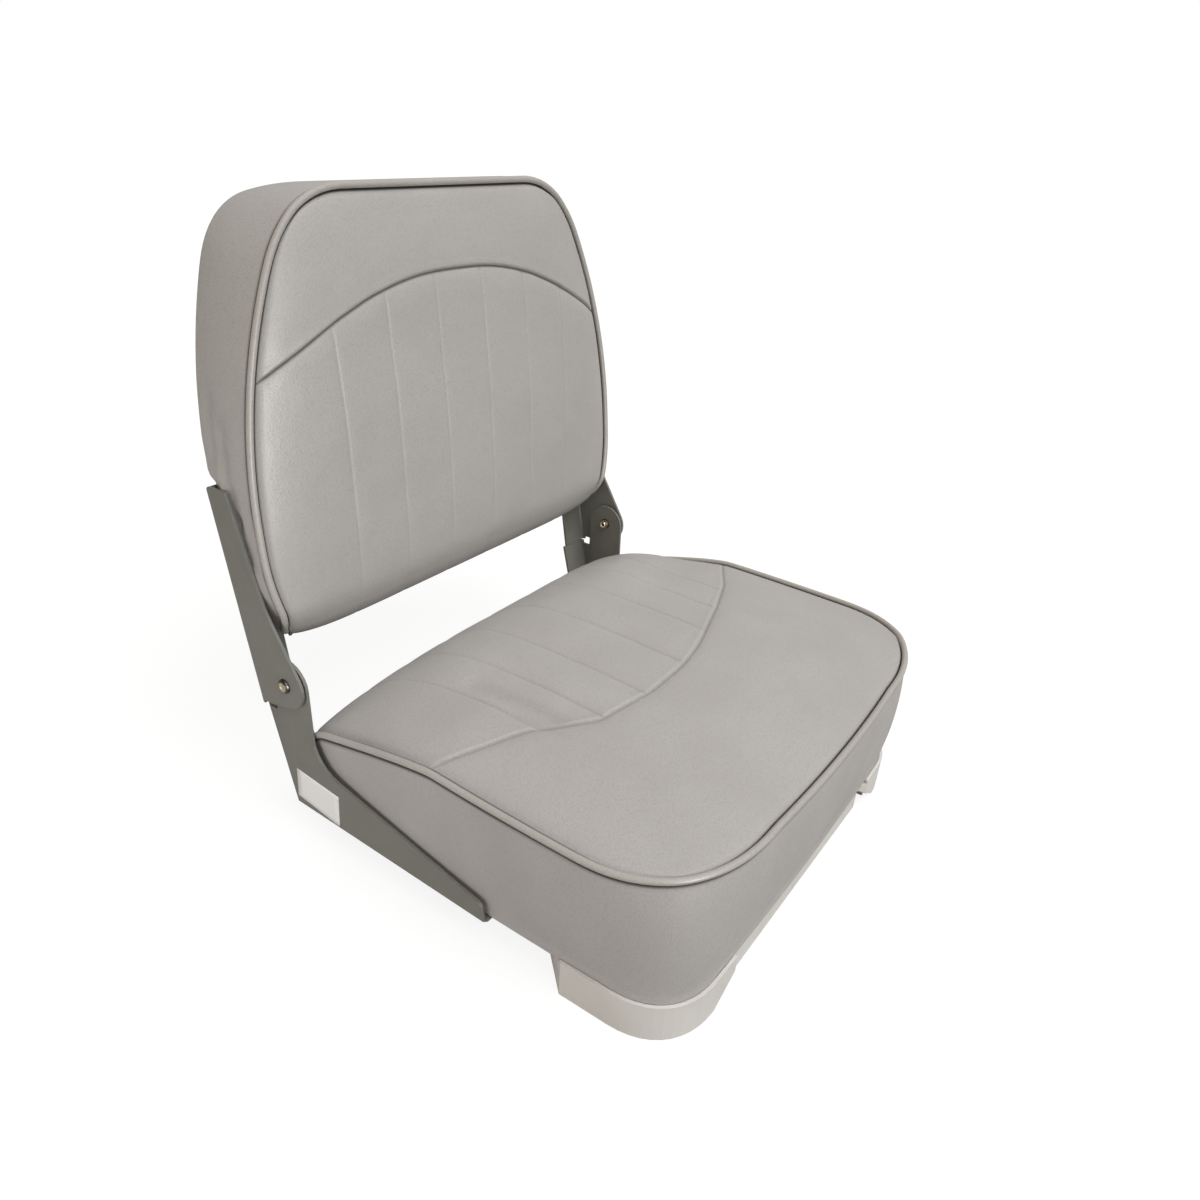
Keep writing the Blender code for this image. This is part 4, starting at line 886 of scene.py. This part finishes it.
def cover_form(name, outline, panel_of, side_of, shares, held, outward, behind, reach):
    """A cover's panel and its creases, its boxing, the dip between them, and the cord's path."""
    columns, rows = panel_columns(name), panel_rows(*row_lengths[name])
    panel = panel_of(columns, rows, 0.0, groove_width)
    rings = np.array(side_of(columns, rows, side_shares))
    coarse_rows = even_rows(coarse_step, *coarse_lengths[name])
    coarse_columns, panel_moves, ring_moves = simulated_moves(
        name, panel_of, side_of, coarse_rows, shares, held)
    panel = panel + looked_up(panel_moves, row_places(coarse_rows), row_places(rows),
                              coarse_columns, columns)
    rings += looked_up(ring_moves, shares, side_shares,
                       round_places(coarse_columns, coarse_rows),
                       round_places(columns, rows), 8)
    grid = outline.grid(edge_notch + groove_width, columns, rows)
    panel, crease_shade = sewn_panel(name, outline, panel, grid, columns, grid_normals(panel, outward),
                               tucked(grid[:, :, 1] + behind, reach))
    piped_edge = side_of(columns, rows, [0])[0]
    dip, away = valley(border(panel_of(columns, rows)), piped_edge, valley_depth)
    lift = cord_lift(outline.loop(0, columns, rows)[:, 1] + behind, reach)
    return columns, rows, panel, crease_shade, rings, dip, dip + away * lift


def gripped_seat(rings):
    """The places of the seat's boxing that the brackets hold flat."""
    return rings[:, :, 1] > bracket_nose_y - grip_margin


columns, rows, panel, crease_shade, rings, dip, seat_cord_path = cover_form(
    "seat", seat_top_outline, seat_panel, seat_side, np.linspace(0, 1, 14), gripped_seat,
    (0, 0, 1), seat_rear, seat_tuck)
foot = [seat_level_ring(columns, rows, 0.0, foam_low - share * (foam_low - hem_low - foot_turn))
        for share in np.linspace(0.25, 1, 4)]
for step in range(1, turn_steps + 1):
    turn = math.pi / 2 * step / turn_steps
    foot.append(seat_level_ring(columns, rows, foot_turn * (1 - math.cos(turn)),
                                hem_low + foot_turn * (1 - math.sin(turn))))
foot += [seat_level_ring(columns, rows, side, hem_low) for side in (fold_width, hem_width)]
shape = bmesh.new()
add_rings(shape, border_verts(add_grid(shape, panel)), [dip, *rings, *foot])
seat_cover = made("seat_cushion_cover", shape)
paint_crease_shade(seat_cover, crease_shade, rings, dip)
thick = seat_cover.modifiers.new("vinyl_thickness", "SOLIDIFY")
thick.thickness = vinyl
thick.offset = -1
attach(seat_cover, "seat")
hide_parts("seat_cover")
print("seat cover", len(seat_cover.data.vertices))

# %% [markdown]
# The backrest's cover is sewn shut all round: a front panel, a boxing that lies on the arms low
# down and steps out behind them higher up, and a plain rear panel.

# %% Backrest cover
front_axis = (0, -math.cos(back_lean), math.sin(back_lean))
back_grip_margin = 0.03


def rounded_edge(start, end, ahead, steps):
    """Rings round a corner from one ring to another, leaving the first straight ahead."""
    centre = end - ahead
    turns = [math.pi / 2 * step / steps for step in range(1, steps)]
    return [centre + (start - centre) * math.cos(turn) + ahead * math.sin(turn) for turn in turns]


def gripped_back(rings):
    """The places of the backrest's boxing that the arms hold flat."""
    return rings[:, :, 2] < back_foot_z + (back_grip_w + back_grip_margin) * math.cos(back_lean)


columns, rows, panel, crease_shade, rings, dip, back_cord_path = cover_form(
    "back", back_outline(), back_panel, back_side, np.linspace(0, 1, 12), gripped_back,
    front_axis, 0, back_tuck)
for ring in rings:
    ring[:, 0] -= np.sign(ring[:, 0]) * (folded(ring[:, 1], ring[:, 2], side_folds)
                                         * smooth_step(np.abs(ring[:, 0]), 0.170, 0.190))
rear = back_rear_panel(columns, rows)
turn_in = back_rear_round * np.array([0, math.cos(back_lean), -math.sin(back_lean)])
corner = rounded_edge(rings[-1], border(rear), turn_in, turn_steps)
shape = bmesh.new()
edge = add_rings(shape, border_verts(add_grid(shape, panel)), [dip, *rings, *corner])
bridge(shape, edge, border_verts(add_grid(shape, rear)))
back_cover = made("backrest_cushion_cover", shape)
paint_crease_shade(back_cover, crease_shade, rings, dip)
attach(back_cover, "backrest")
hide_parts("back_cover")
print("backrest cover", len(back_cover.data.vertices))

# %% [markdown]
# Piping is a cord wrapped in a strip of the same vinyl and sewn into the edge. It runs once round
# each cushion, half sunk in the dip between panel and boxing.

# %% Piping cords
cord_step = 0.0022


def cord(name, path, radius, sides=12):
    """A closed round cord along a ring of points."""
    path = np.asarray(path)
    keep = [0]
    for k in range(1, len(path)):
        if np.linalg.norm(path[k] - path[keep[-1]]) > cord_step:
            keep.append(k)
    path = path[keep]
    for _ in range(2):
        path = (np.roll(path, 1, axis=0) + 2 * path + np.roll(path, -1, axis=0)) / 4
    along = np.roll(path, -1, axis=0) - np.roll(path, 1, axis=0)
    along /= np.linalg.norm(along, axis=1)[:, None]
    out = path - path.mean(axis=0)
    out -= along * np.einsum("ij,ij->i", out, along)[:, None]
    out /= np.linalg.norm(out, axis=1)[:, None]
    third = np.cross(along, out)
    shape = bmesh.new()
    turns = [math.tau * side / sides for side in range(sides)]
    rings = [[shape.verts.new(path[k] + radius * (math.cos(t) * out[k] + math.sin(t) * third[k]))
              for t in turns] for k in range(len(path))]
    for ring, after in zip(rings, rings[1:] + rings[:1]):
        bridge(shape, ring, after)
    return made(name, shape)


seat_cord = cord("seat_piping_cord", seat_cord_path, cord_radius)
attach(seat_cord, "seat")
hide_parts("seat_piping")
back_cord = cord("backrest_piping_cord", back_cord_path, cord_radius)
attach(back_cord, "backrest")
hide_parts("back_piping")
print("cords", len(seat_cord.data.vertices), len(back_cord.data.vertices))

# %% [markdown]
# Under the covers are two blocks of cut foam. They don't show, but the covers are hollow, so the
# model has them as the real seat does. Each is the cover's own form, a little smaller. The
# backrest's cover turns in at its foot, so its foam is raised there to stay inside.

# %% Foam blocks
foam_columns = np.linspace(-1, 1, 25)
foam_skin = quilt + gap
foam_side = vinyl + gap
foam_slack, frame_room = 0.0030, 0.005 + 2 * gap
foam_foot, foam_foot_raised, foam_foot_top = 0.1669, 0.1735, 0.190


def block(name, panel, rings, end=None):
    """A closed block from a panel, its rings and an end panel or a flat end."""
    shape = bmesh.new()
    edge = add_rings(shape, border_verts(add_grid(shape, panel)), rings)
    if end is None:
        shape.faces.new(edge)
    else:
        bridge(shape, edge, border_verts(add_grid(shape, end)))
    return made(name, shape)


rows = even_rows(foam_step, *coarse_lengths["seat"])
shares = np.linspace(0, 1, 6)
seat_block = block("seat_foam_block", seat_panel(foam_columns, rows, foam_skin, foam_side),
                   seat_side(foam_columns, rows, shares, foam_skin, foam_side))
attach(seat_block, "seat")
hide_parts("seat_foam")
rows = even_rows(foam_step, *coarse_lengths["back"])
back_block = block("backrest_foam_block", back_panel(foam_columns, rows, foam_skin, foam_side),
                   back_side(foam_columns, rows, shares[:-1], foam_skin,
                             foam_side + foam_slack, vinyl),
                   back_rear_panel(foam_columns, rows, vinyl + frame_room, foam_side))
for vert in back_block.data.vertices:
    vert.co.z = float(np.interp(vert.co.z, (foam_foot, foam_foot_top, 1),
                                (foam_foot_raised, foam_foot_top, 1)))
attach(back_block, "backrest")
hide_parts("back_foam")
print("foam blocks", len(seat_block.data.vertices), len(back_block.data.vertices))

# %% [markdown]
# The backrest turns on two semi-tubular rivets. Each has a low round head outside, and inside the
# bracket its hollow end is rolled over a collar. Such parts are turned, so a lathe makes them from
# half a section.

# %% Rivets
pivot_place = Vector((0, 0.170, 0.145))


def lathe(name, profile, sides, place, direction):
    """A body turned about an axis through a point, from (radius, height) places."""
    shape = bmesh.new()
    rings = []
    for radius, height in profile:
        turns = [math.tau * k / sides for k in range(sides if radius else 1)]
        rings.append([shape.verts.new((radius * math.cos(t), radius * math.sin(t), height))
                      for t in turns])
    for low, high in zip(rings, rings[1:]):
        for k in range(sides):
            after = (k + 1) % sides
            corners = [low[k % len(low)], low[after % len(low)],
                       high[after % len(high)], high[k % len(high)]]
            shape.faces.new(dict.fromkeys(corners))
    item = made(name, shape)
    item.data.set_sharp_from_angle(angle=math.radians(38))
    item.matrix_world = (Matrix.Translation(place)
                         @ Vector((0, 0, 1)).rotation_difference(direction).to_matrix().to_4x4())
    return item


def arc(centre, reach, start, end, steps):
    """Places (radius, height) on a quarter of an ellipse."""
    turns = [start + (end - start) * k / steps for k in range(steps + 1)]
    return [(centre[0] + reach[0] * math.cos(t), centre[1] + reach[1] * math.sin(t))
            for t in turns]


rivet_shaft, rivet_head, rivet_rise = 0.0034, 0.0058, 0.0026
head = arm_half + gap
tail = bracket_half - sheet - gap
end = tail - 0.0050
rivet_profile = [(0, head + rivet_rise - 0.0003), (0.0019, head + rivet_rise - 0.0003),
                 (0.0023, head + rivet_rise)]
rivet_profile += arc((0.0036, head + 0.0004), (rivet_head - 0.0036, rivet_rise - 0.0004),
                     math.pi / 2, 0, 6)
rivet_profile += [(rivet_head, head), (rivet_shaft, head), (rivet_shaft, tail), (0.0050, tail)]
rivet_profile += arc((0.0043, tail - 0.0009), (0.0007, 0.0009), 0, -math.pi / 2, 4)
rivet_profile += [(rivet_shaft, tail - 0.0018), (rivet_shaft, end + 0.0004),
                  (0.0031, end), (0.0023, end), (0.0020, end + 0.0004),
                  (0.0020, end + 0.0062), (0, end + 0.0062)]
rivets = []
for side, name in ((-1, "left"), (1, "right")):
    rivet = lathe(f"{name}_semi_tubular_rivet", rivet_profile, 40, pivot_place,
                  Vector((side, 0, 0)))
    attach(rivet, "seat")
    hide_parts(f"{name}_pivot_rivet")
    rivets.append(rivet)

print("rivets", [rivet.name for rivet in rivets])

# %% [markdown]
# A white label has its place on the left bracket. It is a sheet of paper, a tenth of a millimetre
# thick, and stays blank here.

# %% Blank label
label_corners = [(0.174, 0.0635), (0.125, 0.0600), (0.127, 0.0290), (0.176, 0.0350)]
label_thickness, label_steps = 0.0001, 8
level = -bracket_half - label_thickness
a, b, c, d = (np.array(corner) for corner in label_corners)
sides = [(d + (c - d) * j / label_steps, a + (b - a) * j / label_steps)
         for j in range(label_steps + 1)]
shape = bmesh.new()
add_grid(shape, [[(level, *(low + (high - low) * k / label_steps))
                  for k in range(label_steps + 1)] for low, high in sides])
label = made("blank_label", shape)
thick = label.modifiers.new("paper_thickness", "SOLIDIFY")
thick.thickness = label_thickness
thick.offset = 0
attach(label, "seat")
print("label", label.name)

# %% [markdown]
# Finishes. Each one starts from what the real surface is: embossed vinyl, powder coat on bent
# steel, moulded plastic, zinc plate, plywood and cut foam. Patterns are made in object space, so
# their sizes are real millimetres.

# %% Helpers for finishes
mm = 0.001


def new_finish(name):
    """A material, its node tree and the place of the shaded point in metres."""
    finish = bpy.data.materials.new(name)
    finish.use_nodes = True
    tree = finish.node_tree
    return finish, tree, add_node(tree, "ShaderNodeTexCoord", output="Object")


def give(items, finish, **values):
    """Link or set a finish's sockets, named with underscores for spaces, and put it on items."""
    shader = finish.node_tree.nodes["Principled BSDF"]
    for name, value in values.items():
        socket = shader.inputs[name.replace("_", " ")]
        if isinstance(value, bpy.types.NodeSocket):
            finish.node_tree.links.new(value, socket)
        else:
            socket.default_value = value
    for item in items:
        item.data.materials.clear()
        item.data.materials.append(finish)
    print(finish.name, "on", len(items))


# %% [markdown]
# Marine vinyl is embossed with a pebble grain about a millimetre across. The pebbles catch small
# highlights, and painted shade makes the valleys between them a little darker. Handling leaves
# wide, faint patches where it is smoother. In the creases the colour is darkened with painted
# shade, and they are dull.

# %% Vinyl
pebble_size, crinkle_size, patch_size = 1.3 * mm, 6 * mm, 70 * mm
crinkle_depth, crinkle_strength = 0.4 * mm, 0.35
# The colour that painted shade in the creases darkens towards.
crease_shade_colour = "#4A4742"


def vinyl_finish(name, items, colour, dark, pebble_depth):
    """Embossed vinyl with a pebble grain."""
    finish, tree, place = new_finish(name)
    cells = add_node(tree, "ShaderNodeTexVoronoi",
                     {"Vector": place, "Scale": 1 / pebble_size, "Smoothness": 0.35,
                      "Randomness": 0.9}, "Distance", feature="SMOOTH_F1")
    # Painted shade: the pebbles' valleys are darkened in colour.
    painted_valley_shade = add_node(tree, "ShaderNodeMapRange", {"Value": cells, "From Min": 0.35,
                                                    "From Max": 0.75, "To Max": 0.55})
    patches = add_node(tree, "ShaderNodeTexNoise", {"Vector": place, "Scale": 1 / patch_size})
    handled = add_node(tree, "ShaderNodeMapRange", {"Value": patches, "From Min": 0.35,
                                                    "From Max": 0.65, "To Max": 0.35})
    crease_shade = add_node(tree, "ShaderNodeAttribute", output="Fac", attribute_name="crease_shade")
    base = linear(colour)
    # Painted shade darkens the grain's valleys and the creases; the wide patches are the vinyl's
    # own tone.
    for factor, other in ((handled, dark), (painted_valley_shade, dark), (crease_shade, crease_shade_colour)):
        base = add_node(tree, "ShaderNodeMix", {"Factor": factor, 6: base, 7: linear(other)}, 2,
                        data_type="RGBA")
    worn = add_node(tree, "ShaderNodeMapRange", {"Value": patches, "From Min": 0.3, "From Max": 0.7,
                                                 "To Min": 0.40, "To Max": 0.50})
    dull = add_node(tree, "ShaderNodeMapRange", {"Value": crease_shade, "From Max": 0.04,
                                                 "To Min": 0.40})
    rough = add_node(tree, "ShaderNodeMath", {0: worn, 1: dull}, operation="MAXIMUM")
    crinkles = add_node(tree, "ShaderNodeTexNoise", {"Vector": place, "Scale": 1 / crinkle_size,
                                                     "Detail": 4.0})
    normal = add_node(tree, "ShaderNodeBump", {"Height": crinkles, "Distance": crinkle_depth,
                                               "Strength": crinkle_strength})
    normal = add_node(tree, "ShaderNodeBump", {"Height": cells, "Distance": -pebble_depth,
                                               "Strength": 1.0, "Normal": normal})
    give(items, finish, Base_Color=base, Roughness=rough, Normal=normal, IOR=1.5,
         Specular_IOR_Level=0.38)


vinyl_finish("embossed_marine_vinyl", [seat_cover, back_cover], "#BAB8B6", "#AAA7A4", 0.12 * mm)
vinyl_finish("stretched_piping_vinyl", [seat_cord, back_cord], "#B9B6B1", "#A9A59F", 0.06 * mm)

# %% [markdown]
# The brackets and arms are bent from steel sheet and powder coated in a dark grey green. The
# powder melts to a faint orange peel, and it is thin on the edges, where it looks lighter.

# %% Powder coat
coat_colour, thin_coat = "#6E6F67", "#8B8B83"
dust_size, peel_size, peel_depth, bend_round = 30 * mm, 2.2 * mm, 0.12 * mm, 0.7 * mm
finish, tree, place = new_finish("grey_powder_coat")
dust = add_node(tree, "ShaderNodeTexNoise", {"Vector": place, "Scale": 1 / dust_size,
                                             "Detail": 4.0, "Roughness": 0.6})
dusty = add_node(tree, "ShaderNodeMapRange", {"Value": dust, "From Min": 0.4, "From Max": 0.7,
                                              "To Max": 0.30})
edge = add_node(tree, "ShaderNodeNewGeometry", output="Pointiness")
thin = add_node(tree, "ShaderNodeMapRange", {"Value": edge, "From Min": 0.52, "From Max": 0.60,
                                             "To Max": 0.5})
base = linear(coat_colour)
for factor in (dusty, thin):
    base = add_node(tree, "ShaderNodeMix", {"Factor": factor, 6: base, 7: linear(thin_coat)}, 2,
                    data_type="RGBA")
rough = add_node(tree, "ShaderNodeMapRange", {"Value": dust, "From Min": 0.3, "From Max": 0.7,
                                              "To Min": 0.42, "To Max": 0.55})
peel = add_node(tree, "ShaderNodeTexNoise", {"Vector": place, "Scale": 1 / peel_size})
normal = add_node(tree, "ShaderNodeBevel", {"Radius": bend_round}, samples=6)
normal = add_node(tree, "ShaderNodeBump", {"Height": peel, "Distance": peel_depth,
                                           "Strength": 0.5, "Normal": normal})
give([nodes[name] for name in ("left_lower_bracket", "right_lower_bracket", "left_arm",
                               "right_arm")],
     finish, Base_Color=base, Roughness=rough, Normal=normal, IOR=1.5)

# %% [markdown]
# The base is one injection moulding in pale grey plastic, and the panel inside the backrest is a
# black one. A mould leaves a fine even spark texture and softly rounded edges. The real texture is
# about 0.1 mm, too fine to show, so it is drawn coarser. Other plain finishes drift in the same
# way, so one function makes them all.

# %% Moulded plastic
def clouded_finish(name, items, colours, gloss, cloud, depth, strength, grain=None, edge=None,
                   span=0.15, **values):
    """A finish whose colour and gloss drift in clouds, with a fine relief and soft edges."""
    finish, tree, place = new_finish(name)
    clouds = add_node(tree, "ShaderNodeTexNoise", {"Vector": place, **cloud})
    drift = add_node(tree, "ShaderNodeMapRange", {"Value": clouds, "From Min": 0.5 - span,
                                                  "From Max": 0.5 + span})
    base = add_node(tree, "ShaderNodeMix", {"Factor": drift, 6: linear(colours[0]),
                                            7: linear(colours[1])}, 2, data_type="RGBA")
    rough = gloss[0]
    if len(gloss) > 1:
        rough = add_node(tree, "ShaderNodeMapRange", {"Value": clouds, "From Min": 0.3,
                                                      "From Max": 0.7, "To Min": gloss[0],
                                                      "To Max": gloss[1]})
    fine = clouds
    if grain:
        fine = add_node(tree, "ShaderNodeTexNoise", {"Vector": place, "Scale": 1 / grain})
    bump = {"Height": fine, "Distance": depth, "Strength": strength}
    if edge:
        bump["Normal"] = add_node(tree, "ShaderNodeBevel", {"Radius": edge}, samples=6)
    give(items, finish, Base_Color=base, Roughness=rough,
         Normal=add_node(tree, "ShaderNodeBump", bump), **values)


for name, node, colours, gloss in (
        ("pale_moulded_plastic", "base_tray", ("#E0DEDA", "#D8D6D1"), (0.38, 0.46)),
        ("black_moulded_plastic", "back_frame", ("#1E1E1F", "#262627"), (0.45, 0.53))):
    clouded_finish(name, [nodes[node]], colours, gloss, {"Scale": 1 / (50 * mm)}, 0.05 * mm, 0.6,
                   grain=0.9 * mm, edge=0.6 * mm, IOR=1.46)

# %% [markdown]
# Small steel parts are zinc plated: a bright, slightly blue metal with a cloudy bloom. The rivets
# have a duller plate, and the rolled rim of the head keeps a dark line of dirt and oxide.

# %% Plated steel
clouded_finish("zinc_plated_steel", [item for name, item in nodes.items()
                                     if "screw" in name or "nut" in name or "washer" in name],
               ("#C9CBCC", "#AEB0B0"), (0.28, 0.43), {"Scale": 1 / (4 * mm), "Detail": 4.0},
               0.03 * mm, 0.5, edge=0.3 * mm, Metallic=1.0)

rim_start, rim_end, bloom_size = 3.0 * mm, 4.6 * mm, 2 * mm
finish, tree, place = new_finish("plated_rivet_steel")
apart = add_node(tree, "ShaderNodeSeparateXYZ", {"Vector": place}).node.outputs
across = add_node(tree, "ShaderNodeCombineXYZ", {"X": apart["X"], "Y": apart["Y"]})
radius = add_node(tree, "ShaderNodeVectorMath", {0: across}, "Value", operation="LENGTH")
rim = add_node(tree, "ShaderNodeMapRange", {"Value": radius, "From Min": rim_start,
                                            "From Max": rim_end})
base = add_node(tree, "ShaderNodeMix", {"Factor": rim, 6: linear("#D8CBB0"),
                                        7: linear("#55524C")}, 2, data_type="RGBA")
bloom = add_node(tree, "ShaderNodeTexNoise", {"Vector": place, "Scale": 1 / bloom_size,
                                              "Detail": 3.0})
rough = add_node(tree, "ShaderNodeMapRange", {"Value": bloom, "From Min": 0.3, "From Max": 0.7,
                                              "To Min": 0.25, "To Max": 0.45})
give(rivets, finish, Base_Color=base, Roughness=rough, Metallic=1.0)

# %% [markdown]
# The seat is built on a plywood board: thin veneers with the grain of each across its neighbours,
# which show as stripes on its edge. A pattern's scale is one over its size in metres, so these make
# fibres 1.4 mm wide and 11 by 111 mm long, and pairs of plies 2.9 mm thick.

# %% Plywood
fibre_scales, ply_scale = (90, 9, 700), 110.0
finish, tree, place = new_finish("birch_plywood")
long_way = add_node(tree, "ShaderNodeMapping", {"Vector": place, "Scale": fibre_scales})
grain = add_node(tree, "ShaderNodeTexNoise", {"Vector": long_way, "Scale": 1.0, "Detail": 5.0})
plies = add_node(tree, "ShaderNodeTexWave", {"Vector": place, "Scale": ply_scale,
                                             "Distortion": 0.4}, "Fac", bands_direction="Z")
wood = linear("#C9A878")
for pattern, high, most, other in ((grain, 0.7, 1.0, "#A9845A"), (plies, 0.8, 0.35, "#8A6844")):
    factor = add_node(tree, "ShaderNodeMapRange", {"Value": pattern, "From Min": 0.3,
                                                   "From Max": high, "To Max": most})
    wood = add_node(tree, "ShaderNodeMix", {"Factor": factor, 6: wood, 7: linear(other)}, 2,
                    data_type="RGBA")
normal = add_node(tree, "ShaderNodeBump", {"Height": grain, "Distance": 0.2 * mm,
                                           "Strength": 0.5})
give([nodes["seat_board"]], finish, Base_Color=wood, Roughness=0.7, Normal=normal, IOR=1.5)

# %% [markdown]
# The foam is cream and open celled. Painted shade makes its pores, which are about 1.4 mm wide,
# darker than their walls. The label is plain matt paper, drawn with a fibre coarser than the real
# one.

# %% Foam and paper
pore_size = 1.4 * mm
finish, tree, place = new_finish("cut_cushion_foam")
pores = add_node(tree, "ShaderNodeTexVoronoi", {"Vector": place, "Scale": 1 / pore_size},
                 "Distance")
# Painted shade: the pores are darker than their walls.
walls = add_node(tree, "ShaderNodeMapRange", {"Value": pores, "From Min": 0.05,
                                              "From Max": 0.45})
base = add_node(tree, "ShaderNodeMix", {"Factor": walls, 6: linear("#B89F66"),
                                        7: linear("#E6D7AC")}, 2, data_type="RGBA")
normal = add_node(tree, "ShaderNodeBump", {"Height": pores, "Distance": 0.4 * mm,
                                           "Strength": 0.8})
give([seat_block, back_block], finish, Base_Color=base, Roughness=0.95, Normal=normal, IOR=1.4)

clouded_finish("white_label_paper", [label], ("#FBFBFA", "#F2F2F0"), (0.55,),
               {"Scale": 1 / (1 * mm), "Detail": 4.0, "Roughness": 0.7}, 0.03 * mm, 0.4,
               span=0.2, IOR=1.5)
